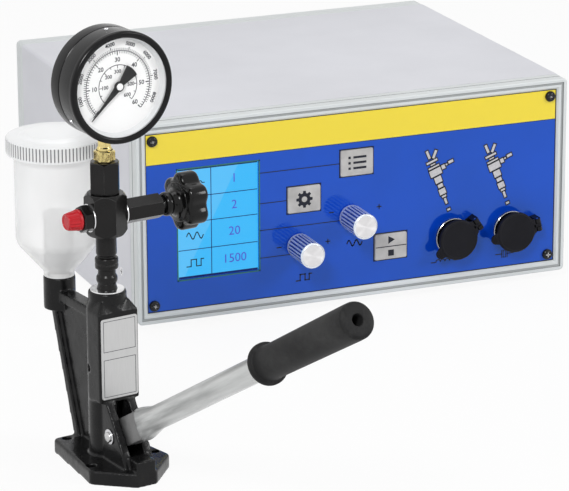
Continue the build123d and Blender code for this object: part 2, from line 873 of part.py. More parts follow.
# Socket caps: round cover with a plug on its back, a lift tab at one side and a hinge knuckle at the other
for socket in sockets:
    spot = panel_spot(socket, angle=cap_turn[socket])
    hinge = Plane(spot.location * Location((hinge_reach, 0, hinge_up), (90, 0, 0)))
    with BuildPart() as cap:
        rim = cap_diameter / 2
        plug = socket_bore_diameter / 2 - cap_plug_gap
        cap_top = cap_bottom + cap_thickness
        turned(
            spot,
            (0, cap_bottom - cap_plug_depth),
            (plug, cap_bottom - cap_plug_depth),
            (plug, cap_bottom),
            (rim, cap_bottom),
            (rim, cap_top),
            (0, cap_top),
            rounds={(rim, cap_top): cap_thickness / 4},
        )
        with BuildSketch(spot.offset(cap_top - cap_tab_thickness)) as tab:
            with Locations((-rim, 0)):
                Rectangle(2 * cap_tab_reach, cap_tab_width)
            with Locations((hinge_reach / 2, 0)):
                Rectangle(hinge_reach, hinge_knuckle_width)
            fillet(tab.vertices().group_by(Axis.X)[0], cap_tab_width / 4)
        extrude(tab.sketch, amount=cap_tab_thickness - cap_tab_step)
        disc(hinge, hinge_knuckle_diameter / 2, -knuckle_half, knuckle_half)
        disc(hinge, hinge_pin_diameter / 2 + running_gap, -knuckle_half, knuckle_half, Mode.SUBTRACT)
    cap.part.label = f"{socket}_cap"
    export_step(cap.part, f"parts/{socket}_cap.step")

# Hinge pins of the two caps
with BuildPart() as cap_hinge_pins:
    for socket in sockets:
        spot = panel_spot(socket, angle=cap_turn[socket])
        hinge = Plane(spot.location * Location((hinge_reach, 0, hinge_up), (90, 0, 0)))
        disc(hinge, hinge_pin_diameter / 2, -ear_outer, ear_outer)
cap_hinge_pins.part.label = "cap_hinge_pins"
export_step(cap_hinge_pins.part, "parts/cap_hinge_pins.step")

# Power inlet: flanged housing with a plug recess, three blades and a window for the rocker above them
rocker_middle = Plane(inlet_spot.location * Location((0, rocker_rise, 0)))
plug_middle = Plane(inlet_spot.location * Location((0, -inlet_socket_drop, 0)))
rocker_swing = rocker_height / 2 + rocker_round
blade_width, blade_height, blade_length = inlet_blade
rocker_pin = Plane(rocker_middle.location * Location((0, 0, inlet_flange - rocker_pin_depth), (0, 90, 0)))
with BuildPart() as power_inlet:
    block(inlet_spot, inlet_flange_width, inlet_flange_height, 0, inlet_flange)
    block(inlet_spot, inlet_body_width, inlet_body_height, -inlet_body_depth, 0)
    block(
        plug_middle, inlet_socket_width, inlet_socket_height, inlet_flange - inlet_socket_depth, inlet_flange,
        Mode.SUBTRACT,
    )
    block(
        rocker_middle, rocker_width + 2 * fit_gap, 2 * (rocker_swing + fit_gap), inlet_flange - rocker_space,
        inlet_flange, Mode.SUBTRACT,
    )
    for across in (-1, 0, 1):
        blade = Plane(plug_middle.location * Location((across * inlet_blade_spacing, 0, 0)))
        block(
            blade, blade_width, blade_height, inlet_flange - inlet_socket_depth,
            inlet_flange - inlet_socket_depth + blade_length,
        )
    disc(rocker_pin, rocker_pin_diameter / 2, -rocker_width / 2 - fit_gap, rocker_width / 2 + fit_gap)
power_inlet.part.label = "power_inlet"
export_step(power_inlet.part, "parts/power_inlet.step")

# Rocker: rounded body on the inlet's pin, its face bent in the middle, drawn at one end of its tilt
tilted = Plane(rocker_pin.location * Location((0, 0, 0), (0, 0, rocker_tilt)))
face_rise = rocker_pin_depth + rocker_dish
with BuildPart() as power_rocker:
    with BuildSketch(tilted) as rocker_side:
        with BuildLine():
            Polyline(
                (-face_rise - rocker_proud, -rocker_swing),
                (-face_rise, 0),
                (-face_rise - rocker_proud, rocker_swing),
                (rocker_depth - rocker_pin_depth, rocker_swing / 2),
                (rocker_depth - rocker_pin_depth, -rocker_swing / 2),
                close=True,
            )
        make_face()
        Circle(rocker_swing, mode=Mode.INTERSECT)
    extrude(rocker_side.sketch, amount=rocker_width / 2, both=True)
    pin_bore = rocker_pin_diameter / 2 + running_gap
    disc(rocker_pin, pin_bore, -rocker_width / 2, rocker_width / 2, Mode.SUBTRACT)
power_rocker.part.label = "power_rocker"
export_step(power_rocker.part, "parts/power_rocker.step")

# Main board: circuit board on the tray's posts with its heat sink, capacitors and chips
board_top = post_height + board_thickness
sink_width, sink_depth, sink_height = heat_sink_size
chip_width, chip_depth, chip_height = chip_size
with BuildPart() as main_board:
    block(board_middle, board_width, board_depth, post_height, board_top)
    sink = Plane(board_middle.location * Location((-board_width / 4, board_depth / 2 - sink_depth, 0)))
    block(sink, sink_width, sink_depth, board_top, board_top + sink_height)
    with BuildSketch(board_middle.offset(board_top)) as capacitors:
        with GridLocations(capacitor_pitch, capacitor_pitch, 2, 2):
            Circle(capacitor_diameter / 2)
    extrude(capacitors.sketch, amount=capacitor_height)
    for across in (-1, 1):
        chip = Plane(board_middle.location * Location((across * board_width / 4, -board_depth / 4, 0)))
        block(chip, chip_width, chip_depth, board_top, board_top + chip_height)
main_board.part.label = "main_board"
export_step(main_board.part, "parts/main_board.step")

# Power supply: a small board with a transformer, standing on the tray behind the front panel's right side
core_width, core_depth, core_height = transformer_size
supply_right = case_left + case_width - sheet - supply_inset
supply_across = supply_right - supply_margin - core_width / 2
supply_middle = Plane((supply_across, case_front + case_depth / 2, foot_height + sheet))
with BuildPart() as power_supply:
    block(supply_middle, core_width + 2 * supply_margin, 2 * core_depth, 0, sheet)
    block(supply_middle, core_width, core_depth, sheet, sheet + core_height / 2)
    coil_width = core_width - 2 * supply_margin
    coil_depth = core_depth + 2 * supply_margin
    block(supply_middle, coil_width, coil_depth, sheet, sheet + core_height)
power_supply.part.label = "power_supply"
export_step(power_supply.part, "parts/power_supply.step")

# Planes of the pump's column, of its middle and of the cup behind it
column = level()
middle = flank()
cup = level(front=-cup_back)

# Pump body: one casting with the base, the column, the label boss, the lever's ears, the arm, cup and strut
with BuildPart() as pump_body:
    with BuildSketch(column) as base:
        Polygon(
            (-base_rear_half, base_rear),
            (base_rear_half, base_rear),
            (base_wide_half, -base_wide_front),
            (base_nose_half, -base_nose_front),
            (-base_nose_half, -base_nose_front),
            (-base_wide_half, -base_wide_front),
            align=None,
        )
        fillet(base.vertices(), base_corner)
    extrude(base.sketch, amount=base_thickness)
    chamfer(pump_body.faces().sort_by(Axis.Z)[-1].edges(), base_edge)
    turned(
        column,
        (0, base_thickness / 2),
        (column_radius, base_thickness / 2),
        (column_radius, column_shoulder),
        (collar_radius, column_shoulder + collar_rise),
        (collar_radius, column_top),
        (0, column_top),
        rounds={(collar_radius, column_top): collar_edge},
    )
    with BuildSketch(level(up=boss_bottom)) as boss:
        with Locations((0, (boss_back - boss_front) / 2)):
            Rectangle(2 * boss_half, boss_front + boss_back)
    extrude(boss.sketch, amount=boss_top - boss_bottom)
    with BuildSketch(level(up=boss_top)) as boss_end:
        with Locations((0, (boss_back - boss_front) / 2)):
            Rectangle(2 * boss_half, boss_front + boss_back)
    extrude(boss_end.sketch, amount=boss_slope, taper=boss_taper)
    with BuildSketch(middle) as ears:
        Polygon(
            (0, base_thickness / 2),
            (ear_foot_front, base_thickness / 2),
            (ear_foot_front, base_thickness),
            (ear_low_front, ear_low_height),
            (ear_mid_front, ear_mid_height),
            (boss_front, boss_bottom + ear_overlap),
            (0, boss_bottom + ear_overlap),
            align=None,
        )
    extrude(ears.sketch, amount=ear_half, both=True)
    with BuildSketch(middle) as strut:
        Polygon(
            (-strut_head_back, cup_bottom + ear_overlap),
            (-strut_head_back + strut_width, cup_bottom + ear_overlap),
            (-strut_foot_back + strut_width, base_thickness / 2),
            (-strut_foot_back, base_thickness / 2),
            align=None,
        )
        Polygon(
            (-cup_back, arm_bottom),
            (-cup_back, arm_top),
            (0, arm_top),
            (0, arm_bottom),
            align=None,
        )
    extrude(strut.sketch, amount=arm_half, both=True)
    with BuildSketch(middle) as web:
        Polygon(
            (-strut_head_back + strut_width / 2, arm_top - ear_overlap),
            (0, arm_top - ear_overlap),
            (0, base_thickness / 2),
            (-strut_foot_back + strut_width / 2, base_thickness / 2),
            align=None,
        )
    extrude(web.sketch, amount=web_half, both=True)
    disc(cup, cup_radius, cup_bottom, cup_top)
    with BuildSketch(middle) as slot:
        Polygon(
            (-slot_back, slot_floor),
            (ear_foot_front + overrun, slot_floor),
            (ear_foot_front + overrun, boss_bottom),
            (-slot_back, boss_bottom),
            align=None,
        )
    extrude(slot.sketch, amount=slot_half, both=True, mode=Mode.SUBTRACT)
    with BuildSketch(level(front=(nose_pad_back + base_nose_front) / 2, up=base_thickness / 2)) as pad:
        Rectangle(2 * nose_pad_half, base_nose_front - nose_pad_back)
        fillet(pad.vertices(), base_edge)
    extrude(pad.sketch, amount=nose_pad_height - base_thickness / 2)
    disc(column, chamber_radius, chamber_bottom, barrel_bottom, Mode.SUBTRACT)
    disc(column, bore_radius, barrel_bottom, column_top, Mode.SUBTRACT)
    disc(cup, reservoir_neck_radius + fit_gap, cup_bottom + cup_floor, cup_top, Mode.SUBTRACT)
    disc(facing(up=feed_height), feed_radius, -cup_back, 0, Mode.SUBTRACT)
    ear_bore = pin_radius + running_gap
    disc(flank(front=pin_front, up=pin_height), ear_bore, -ear_half, ear_half, Mode.SUBTRACT)
    disc(
        flank(front=-lock_hole_back, up=lock_hole_height),
        lock_hole_diameter / 2,
        column_radius - lock_hole_depth,
        column_radius + overrun,
        Mode.SUBTRACT,
    )
    for right, front in mount_holes:
        disc(level(right, front), mount_hole_diameter / 2, 0, base_thickness, Mode.SUBTRACT)
pump_body.part.label = "pump_body"
export_step(pump_body.part, "parts/pump_body.step")

# Label plate: thin sheet on the boss
with BuildPart() as label_plate:
    with BuildSketch(facing(boss_front, up=label_middle)) as label:
        RectangleRounded(label_width, label_height, label_corner)
    extrude(label.sketch, amount=label_thickness)
label_plate.part.label = "label_plate"
export_step(label_plate.part, "parts/label_plate.step")

# Pump barrel: stands on the shoulder in the column, with a feed port above the resting plunger
with BuildPart() as pump_barrel:
    disc(column, bore_radius - running_gap, barrel_bottom, barrel_top)
    disc(column, plunger_radius + running_gap, barrel_bottom, barrel_top, Mode.SUBTRACT)
    disc(facing(up=feed_height), feed_radius, -bore_radius, 0, Mode.SUBTRACT)
pump_barrel.part.label = "pump_barrel"
export_step(pump_barrel.part, "parts/pump_barrel.step")

# Lever: its nose behind the pin lifts the plunger when the grip goes down
dip = radians(nose_dip_angle)
nose_height = pin_height - nose_arm * sin(dip)
plunger_foot = nose_height + nose_radius + tappet_gap
tappet_top = plunger_foot + tappet_drop + tappet_height
pivot = flank(front=pin_front, up=pin_height)
lever = Plane(pivot.location * Location((0, 0, 0), (0, 0, lever_rise_angle)))
nose = Plane(pivot.location * Location((0, 0, 0), (0, 0, nose_dip_angle)))

# Plunger with its spring plate
with BuildPart() as plunger:
    disc(column, plunger_radius, plunger_foot, plunger_top)
    disc(column, tappet_radius, plunger_foot + tappet_drop, tappet_top)
plunger.part.label = "plunger"
export_step(plunger.part, "parts/plunger.step")

# Plunger spring: sleeve with the coil's bore and outer diameter, from the spring plate to the barrel
with BuildPart() as plunger_spring:
    disc(column, spring_outer_radius, tappet_top, barrel_bottom)
    disc(column, spring_inner_radius, tappet_top, barrel_bottom, Mode.SUBTRACT)
plunger_spring.part.label = "plunger_spring"
export_step(plunger_spring.part, "parts/plunger_spring.step")

# Lever head: hub on the pin, nose arm behind it, tongue in front and a spigot in the tube
with BuildPart() as lever_head:
    with BuildSketch(lever) as tongue:
        Circle(head_hub_radius)
        Polygon(
            (0, head_hub_radius),
            (tongue_flare, tongue_half_height),
            (tongue_length, tongue_half_height),
            (tongue_length, -tongue_half_height),
            (tongue_flare, -tongue_half_height),
            (0, -head_hub_radius),
            align=None,
        )
        Circle(pin_radius + running_gap, mode=Mode.SUBTRACT)
    extrude(tongue.sketch, amount=head_half, both=True)
    with BuildSketch(nose) as arm:
        with Locations((-nose_arm / 2, 0)):
            Rectangle(nose_arm, 2 * nose_arm_half)
        with Locations((-nose_arm, 0)):
            Circle(nose_radius)
        Circle(head_hub_radius - nose_arm_bite, mode=Mode.SUBTRACT)
    extrude(arm.sketch, amount=head_half, both=True)
    shank = Plane(lever.location * Location((0, 0, 0), (0, 90, 0)))
    disc(shank, tube_radius, tongue_length, tube_start)
    disc(shank, tube_radius - tube_wall - thread_gap, tube_start, tube_start + spigot_length)
lever_head.part.label = "lever_head"
export_step(lever_head.part, "parts/lever_head.step")

# Lever tube
with BuildPart() as lever_tube:
    disc(shank, tube_radius, tube_start, tube_end)
    disc(shank, tube_radius - tube_wall, tube_start, tube_end, Mode.SUBTRACT)
lever_tube.part.label = "lever_tube"
export_step(lever_tube.part, "parts/lever_tube.step")

# Lever grip: moulded sleeve with a flange at its start and a hole in its end
with BuildPart() as lever_grip:
    turned(
        shank,
        (0, grip_start),
        (grip_flange_radius, grip_start),
        (grip_flange_radius, grip_start + grip_flange),
        (grip_radius, grip_start + grip_flange),
        (grip_end_radius, grip_end),
        (0, grip_end),
        rounds={
            (grip_flange_radius, grip_start): grip_round,
            (grip_flange_radius, grip_start + grip_flange): grip_round,
            (grip_end_radius, grip_end): grip_round,
        },
    )
    disc(shank, tube_radius + thread_gap, grip_start, tube_end, Mode.SUBTRACT)
    disc(shank, grip_hole_radius, tube_end, grip_end, Mode.SUBTRACT)
lever_grip.part.label = "lever_grip"
export_step(lever_grip.part, "parts/lever_grip.step")

# Lever pin: round pin through both ears, grooved at its ends for the clips
pin_axis = flank(front=pin_front, up=pin_height)
with BuildPart() as lever_pin:
    disc(pin_axis, pin_radius, -ear_half - pin_end, ear_half + pin_end)
    for side in (-1, 1):
        with BuildSketch(pin_axis.offset(side * ear_half)) as groove:
            Circle(pin_radius + running_gap)
            Circle(pin_groove_radius, mode=Mode.SUBTRACT)
        extrude(groove.sketch, amount=side * clip_thickness, mode=Mode.SUBTRACT)
lever_pin.part.label = "lever_pin"
export_step(lever_pin.part, "parts/lever_pin.step")

# Pin clips: open rings in the pin's grooves, flat on the ears
with BuildPart() as pin_clips:
    for side in (-1, 1):
        with BuildSketch(pin_axis.offset(side * ear_half)) as clip:
            Circle(clip_outer_radius)
            Circle(pin_groove_radius + thread_gap, mode=Mode.SUBTRACT)
            with Locations((0, -clip_outer_radius)):
                Rectangle(clip_opening, 2 * clip_outer_radius, mode=Mode.SUBTRACT)
        extrude(clip.sketch, amount=side * clip_thickness)
pin_clips.part.label = "pin_clips"
export_step(pin_clips.part, "parts/pin_clips.step")

# Delivery holder: plug that holds the barrel down, with a turned stem and a threaded end
with BuildPart() as delivery_holder:
    disc(column, bore_radius - thread_gap, barrel_top, column_top)
    disc(column, holder_radius, column_top, holder_top)
    disc(column, holder_thread_radius, holder_top, holder_thread_top)
    disc(column, passage_radius, barrel_top, holder_thread_top, Mode.SUBTRACT)
delivery_holder.part.label = "delivery_holder"
export_step(delivery_holder.part, "parts/delivery_holder.step")

# Union nut: threaded on the holder, its shoulder over the riser's collar
with BuildPart() as union_nut:
    turned(
        column,
        (0, nut_bottom),
        (nut_radius, nut_bottom),
        (nut_radius, nut_top),
        (0, nut_top),
        rounds={(nut_radius, nut_bottom): nut_edge, (nut_radius, nut_top): nut_edge},
    )
    disc(column, holder_thread_radius + thread_gap, nut_bottom, nut_shoulder, Mode.SUBTRACT)
    disc(column, spigot_radius + fit_gap, nut_shoulder, nut_top, Mode.SUBTRACT)
union_nut.part.label = "union_nut"
export_step(union_nut.part, "parts/union_nut.step")

# Valve block: hexagonal bar on a riser, with ports on top and at both sides
valve_right = Plane(pump_point(up=valve_height), x_dir=(0, 0, 1), z_dir=pump_right)
valve_left = Plane(pump_point(up=valve_height), x_dir=(0, 0, 1), z_dir=Vector(*pump_right) * -1)
block_half = block_flats / 2
with BuildPart() as valve_block:
    hexagon(column, block_flats, block_bottom, block_top, angle=30)
    disc(column, neck_radius, nut_top + fit_gap, block_bottom)
    disc(column, spigot_radius, nut_shoulder, nut_top + fit_gap)
    disc(column, holder_thread_radius - fit_gap, holder_thread_top, nut_shoulder)
    disc(column, passage_radius, holder_thread_top, block_top, Mode.SUBTRACT)
    disc(column, port_radius + thread_gap, block_top - port_depth, block_top, Mode.SUBTRACT)
    for face in (valve_right, valve_left):
        disc(face, passage_radius, 0, block_half, Mode.SUBTRACT)
        disc(face, port_radius + thread_gap, block_half - port_depth, block_half, Mode.SUBTRACT)
valve_block.part.label = "valve_block"
export_step(valve_block.part, "parts/valve_block.step")

# Sealing washers: on the column's collar, under the valve bonnet and under the outlet fitting
with BuildPart() as sealing_washers:
    with BuildSketch(level(up=column_top)) as washer:
        Circle(collar_washer_radius)
        Circle(holder_radius + fit_gap, mode=Mode.SUBTRACT)
    extrude(washer.sketch, amount=washer_thickness)
    for face, radius in ((valve_right, bonnet_washer_radius), (valve_left, outlet_washer_radius)):
        with BuildSketch(face.offset(block_half)) as washer:
            Circle(radius)
            Circle(port_radius + fit_gap, mode=Mode.SUBTRACT)
        extrude(washer.sketch, amount=washer_thickness)
sealing_washers.part.label = "sealing_washers"
export_step(sealing_washers.part, "parts/sealing_washers.step")

# Valve bonnet: hexagonal bar that carries the spindle
thread_start = block_half - port_depth + running_gap
hex_start = block_half + washer_thickness
with BuildPart() as valve_bonnet:
    hexagon(valve_right, bonnet_flats, hex_start, bonnet_end)
    disc(valve_right, port_radius, thread_start, hex_start)
    disc(valve_right, passage_radius, thread_start, spindle_tip, Mode.SUBTRACT)
    disc(valve_right, spindle_radius + running_gap, spindle_tip, bonnet_end, Mode.SUBTRACT)
valve_bonnet.part.label = "valve_bonnet"
export_step(valve_bonnet.part, "parts/valve_bonnet.step")

# Valve spindle: round bar with a cone on its inner end
with BuildPart() as valve_spindle:
    turned(
        valve_right,
        (0, spindle_tip + running_gap),
        (passage_radius, spindle_tip + running_gap),
        (spindle_radius, spindle_tip + spindle_cone),
        (spindle_radius, valve_star_end - spindle_radius),
        (0, valve_star_end - spindle_radius),
    )
valve_spindle.part.label = "valve_spindle"
export_step(valve_spindle.part, "parts/valve_spindle.step")

# Valve knob: lobed hand wheel on a hub
with BuildPart() as valve_knob:
    with BuildSketch(valve_right.offset(valve_star_start)) as star:
        Circle(valve_core_radius)
        with PolarLocations(valve_lobe_circle, valve_lobes):
            Circle(valve_lobe_radius)
    extrude(star.sketch, amount=valve_star_end - valve_star_start)
    chamfer(valve_knob.faces().filter_by(Axis(pump_point(), pump_right)).edges(), valve_star_edge)
    disc(valve_right, valve_hub_radius, valve_hub_start, valve_star_start)
    knob_bore = spindle_radius + thread_gap
    disc(valve_right, knob_bore, valve_hub_start, valve_star_end - spindle_radius, Mode.SUBTRACT)
valve_knob.part.label = "valve_knob"
export_step(valve_knob.part, "parts/valve_knob.step")

# Outlet fitting: hexagonal nipple for the injector's pipe
outlet_face = hex_start + outlet_hex
with BuildPart() as outlet_fitting:
    hexagon(valve_left, outlet_flats, hex_start, outlet_face)
    disc(valve_left, port_radius, thread_start, hex_start)
    disc(valve_left, outlet_nipple_radius, outlet_face, outlet_face + outlet_nipple)
    disc(valve_left, passage_radius, thread_start, outlet_face + outlet_nipple, Mode.SUBTRACT)
outlet_fitting.part.label = "outlet_fitting"
export_step(outlet_fitting.part, "parts/outlet_fitting.step")

# Outlet cap: push-on dust cap over the nipple
cap_start = outlet_face + seat_gap
with BuildPart() as outlet_cap:
    turned(
        valve_left,
        (0, cap_start),
        (cap_root_radius, cap_start),
        (cap_end_radius, cap_start + cap_length),
        (0, cap_start + cap_length),
        rounds={(cap_end_radius, cap_start + cap_length): cap_round},
    )
    cap_bore = outlet_nipple_radius + running_gap
    disc(valve_left, cap_bore, cap_start, outlet_face + outlet_nipple + fit_gap, Mode.SUBTRACT)
outlet_cap.part.label = "outlet_cap"
export_step(outlet_cap.part, "parts/outlet_cap.step")

# Gauge adapter: hexagonal extension in the block's top port
with BuildPart() as gauge_adapter:
    hexagon(column, adapter_flats, block_top, adapter_top, angle=adapter_angle)
    disc(column, port_radius, block_top - port_depth + running_gap, block_top)
    stem_seat = adapter_top - stem_thread_depth - fit_gap
    disc(column, stem_thread_radius + thread_gap, stem_seat, adapter_top, Mode.SUBTRACT)
    disc(column, passage_radius, block_top - port_depth, adapter_top, Mode.SUBTRACT)
gauge_adapter.part.label = "gauge_adapter"
export_step(gauge_adapter.part, "parts/gauge_adapter.step")

# Gauge stem: brass fitting from the adapter into the gauge, ending in the block that feeds the bourdon tube
dial_axis = facing(up=gauge_height)
gauge_floor = gauge_back - gauge_case_wall
socket_top = gauge_height - tube_loop_radius + socket_block_half
with BuildPart() as gauge_stem:
    hexagon(column, stem_flats, adapter_top, stem_hex_top, angle=stem_angle)
    disc(column, stem_thread_radius, adapter_top - stem_thread_depth, adapter_top)
    disc(column, stem_radius, stem_hex_top, socket_top - socket_block_half)
    block(column, 2 * socket_block_half, 2 * gauge_floor, socket_top - 2 * socket_block_half, socket_top)
    stem_foot = adapter_top - stem_thread_depth
    disc(column, passage_radius, stem_foot, socket_top - socket_block_half, Mode.SUBTRACT)
gauge_stem.part.label = "gauge_stem"
export_step(gauge_stem.part, "parts/gauge_stem.step")

# Gauge case: turned cup with a stepped rim and a slot in its rim for the stem
rim_radius = gauge_case_radius - gauge_rim_step
inner_radius = rim_radius - gauge_case_wall
with BuildPart() as gauge_case:
    turned(
        dial_axis,
        (0, -gauge_back),
        (gauge_case_radius, -gauge_back),
        (gauge_case_radius, gauge_seam),
        (rim_radius, gauge_seam),
        (rim_radius, dial_depth),
        (0, dial_depth),
        rounds={(gauge_case_radius, -gauge_back): gauge_back_round},
    )
    disc(dial_axis, inner_radius, -gauge_floor, dial_depth, Mode.SUBTRACT)
    case_low = gauge_height - gauge_case_radius - overrun
    disc(column, stem_radius + fit_gap, case_low, gauge_height - tube_loop_radius, Mode.SUBTRACT)
    for angle in ring_screw_angles:
        tapped = ring_screw_shank + thread_gap
        disc(radial(angle), tapped, inner_radius - overrun, gauge_case_radius, Mode.SUBTRACT)
gauge_case.part.label = "gauge_case"
export_step(gauge_case.part, "parts/gauge_case.step")

# Gauge ring: sleeve over the case's rim with a lip that holds the lens
with BuildPart() as gauge_ring:
    turned(
        dial_axis,
        (rim_radius + thread_gap, gauge_seam + fit_gap),
        (gauge_case_radius, gauge_seam + fit_gap),
        (gauge_case_radius, gauge_front - ring_flange),
        (ring_radius, gauge_front - ring_flange),
        (ring_radius, gauge_front),
        (ring_inner_radius, gauge_front),
        (ring_inner_radius, lens_front + thread_gap),
        (rim_radius + thread_gap, lens_front + thread_gap),
        rounds={(ring_radius, gauge_front): ring_edge},
    )
    for angle in ring_screw_angles:
        tapped = ring_screw_shank + thread_gap
        disc(radial(angle), tapped, inner_radius, gauge_case_radius + overrun, Mode.SUBTRACT)
    ring_low = gauge_height - ring_radius - overrun
    disc(column, stem_radius + fit_gap, ring_low, gauge_height - tube_loop_radius, Mode.SUBTRACT)
gauge_ring.part.label = "gauge_ring"
export_step(gauge_ring.part, "parts/gauge_ring.step")

# Ring screws: small screws around the ring
with BuildPart() as gauge_screws:
    for angle in ring_screw_angles:
        disc(radial(angle), ring_screw_shank, inner_radius - ring_screw_head, gauge_case_radius)
        disc(radial(angle), ring_screw_radius, gauge_case_radius, gauge_case_radius + ring_screw_head)
gauge_screws.part.label = "gauge_screws"
export_step(gauge_screws.part, "parts/gauge_screws.step")

# Gauge dial: plate on the case's rim with a wall up to the lens
with BuildPart() as gauge_dial:
    disc(dial_axis, rim_radius, dial_depth, dial_depth + dial_thickness)
    disc(dial_axis, rim_radius, dial_depth + dial_thickness, lens_back)
    disc(dial_axis, rim_radius - dial_wall, dial_depth + dial_thickness, lens_back, Mode.SUBTRACT)
    disc(dial_axis, arbor_radius + running_gap, dial_depth, dial_depth + dial_thickness, Mode.SUBTRACT)
gauge_dial.part.label = "gauge_dial"
export_step(gauge_dial.part, "parts/gauge_dial.step")

# Gauge lens
with BuildPart() as gauge_lens:
    disc(dial_axis, rim_radius, lens_back, lens_front)
gauge_lens.part.label = "gauge_lens"
export_step(gauge_lens.part, "parts/gauge_lens.step")

# Gauge needle: pointer with a fan-shaped tail, hub and arbor
pointer = Plane(dial_axis.location * Location((0, 0, 0), (0, 0, needle_angle)))
with BuildPart() as gauge_needle:
    with BuildSketch(pointer.offset(needle_plane)) as blade:
        Polygon(
            (needle_length, needle_tip_half),
            (0, needle_root_half),
            (-needle_tail, needle_tail_half),
            (-needle_tail, -needle_tail_half),
            (0, -needle_root_half),
            (needle_length, -needle_tip_half),
            align=None,
        )
    extrude(blade.sketch, amount=needle_thickness)
    disc(dial_axis, hub_radius, needle_plane, needle_plane + hub_height)
    disc(dial_axis, arbor_radius, gauge_floor + running_gap, needle_plane)
gauge_needle.part.label = "gauge_needle"
export_step(gauge_needle.part, "parts/gauge_needle.step")

# Bourdon tube: flat tube bent round from the stem's block, and the movement's two plates on their pillars
loop_outer = tube_loop_radius + tube_loop_half
loop_inner = tube_loop_radius - tube_loop_half
plate_front = dial_depth - movement_gap
plate_foot = tube_loop_radius - socket_block_half
with BuildPart() as bourdon_tube:
    with BuildSketch(dial_axis.offset(-tube_loop_thickness / 2)) as loop:
        Circle(loop_outer)
        Circle(loop_inner, mode=Mode.SUBTRACT)
        with Locations((0, -tube_loop_radius)):
            Rectangle(2 * socket_block_half, 2 * socket_block_half, mode=Mode.SUBTRACT)
        with BuildLine():
            Polyline(
                (0, 0), (0, -loop_outer), (-loop_outer, -loop_outer), (-loop_outer, -loop_gap), close=True
            )
        make_face(mode=Mode.SUBTRACT)
    extrude(loop.sketch, amount=tube_loop_thickness)
    with BuildSketch(dial_axis.offset(gauge_floor)) as back_plate:
        with Locations((0, (movement_half - plate_foot) / 2)):
            Rectangle(2 * movement_half, movement_half + plate_foot)
    extrude(back_plate.sketch, amount=-movement_plate)
    with BuildSketch(dial_axis.offset(gauge_floor)) as pillars:
        with GridLocations(2 * pillar_spread, 2 * pillar_spread, 2, 2):
            Circle(pillar_radius)
    extrude(pillars.sketch, amount=plate_front - movement_plate - gauge_floor)
    block(dial_axis, 2 * movement_half, 2 * movement_half, plate_front - movement_plate, plate_front)
    disc(dial_axis, arbor_radius + running_gap, plate_front - movement_plate, plate_front, Mode.SUBTRACT)
bourdon_tube.part.label = "bourdon_tube"
export_step(bourdon_tube.part, "parts/bourdon_tube.step")

# Reservoir: clear funnel-bottomed vessel with a neck in the cup and a wide rim
cone_rise = reservoir_shoulder - cup_top - reservoir_collar
collar_inner = reservoir_collar_radius - reservoir_wall
shoulder_inner = reservoir_radius - reservoir_wall
rim_inner = reservoir_rim_radius - reservoir_wall
with BuildPart() as reservoir:
    turned(
        cup,
        (reservoir_neck_radius - reservoir_wall, reservoir_neck_bottom),
        (reservoir_neck_radius, reservoir_neck_bottom),
        (reservoir_neck_radius, cup_top),
        (reservoir_collar_radius, cup_top),
        (reservoir_collar_radius, cup_top + reservoir_collar),
        (reservoir_radius, reservoir_shoulder),
        (reservoir_radius, reservoir_body_top),
        (reservoir_rim_radius, reservoir_rim_bottom),
        (reservoir_rim_radius, reservoir_rim_top),
        (rim_inner, reservoir_rim_top),
        (rim_inner, reservoir_rim_bottom + reservoir_wall),
        (shoulder_inner, reservoir_body_top + reservoir_wall),
        (shoulder_inner, reservoir_shoulder + reservoir_wall),
        (collar_inner, cup_top + reservoir_collar + reservoir_wall),
        (reservoir_neck_radius - reservoir_wall, cup_top + reservoir_wall),
    )
reservoir.part.label = "reservoir"
export_step(reservoir.part, "parts/reservoir.step")

# Reservoir lid: shallow cap over the rim with a raised crown
lid_inner_top = reservoir_rim_top + seat_gap
lid_top = lid_inner_top + lid_wall
with BuildPart() as reservoir_lid:
    turned(
        cup,
        (0, lid_bottom),
        (lid_radius, lid_bottom),
        (lid_radius, lid_top),
        (lid_crown_radius + lid_crown, lid_top),
        (lid_crown_radius, lid_top + lid_crown),
        (0, lid_top + lid_crown),
        rounds={(lid_radius, lid_top): lid_edge},
    )
    disc(cup, lid_radius - lid_wall, lid_bottom, lid_inner_top, Mode.SUBTRACT)
reservoir_lid.part.label = "reservoir_lid"
export_step(reservoir_lid.part, "parts/reservoir_lid.step")

# Reservoir strainer: white cup that stands on the funnel, with a small knob on its top
funnel_slope = cone_rise / (shoulder_inner - collar_inner)
strainer_lift = (strainer_radius - collar_inner) * funnel_slope
strainer_bottom = cup_top + reservoir_collar + reservoir_wall + strainer_lift
with BuildPart() as reservoir_strainer:
    disc(cup, strainer_radius, strainer_bottom + fit_gap, strainer_top)
    disc(
        cup,
        strainer_radius - strainer_wall,
        strainer_bottom + fit_gap,
        strainer_top - strainer_wall,
        Mode.SUBTRACT,
    )
    disc(cup, strainer_knob_radius, strainer_top, strainer_top + strainer_knob)
reservoir_strainer.part.label = "reservoir_strainer"
export_step(reservoir_strainer.part, "parts/reservoir_strainer.step")
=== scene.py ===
import json
from math import cos, pi, radians, sin, tan

import bmesh
import bpy
from bmesh.types import BMEdge, BMFace, BMVert
from mathutils import Matrix, Vector


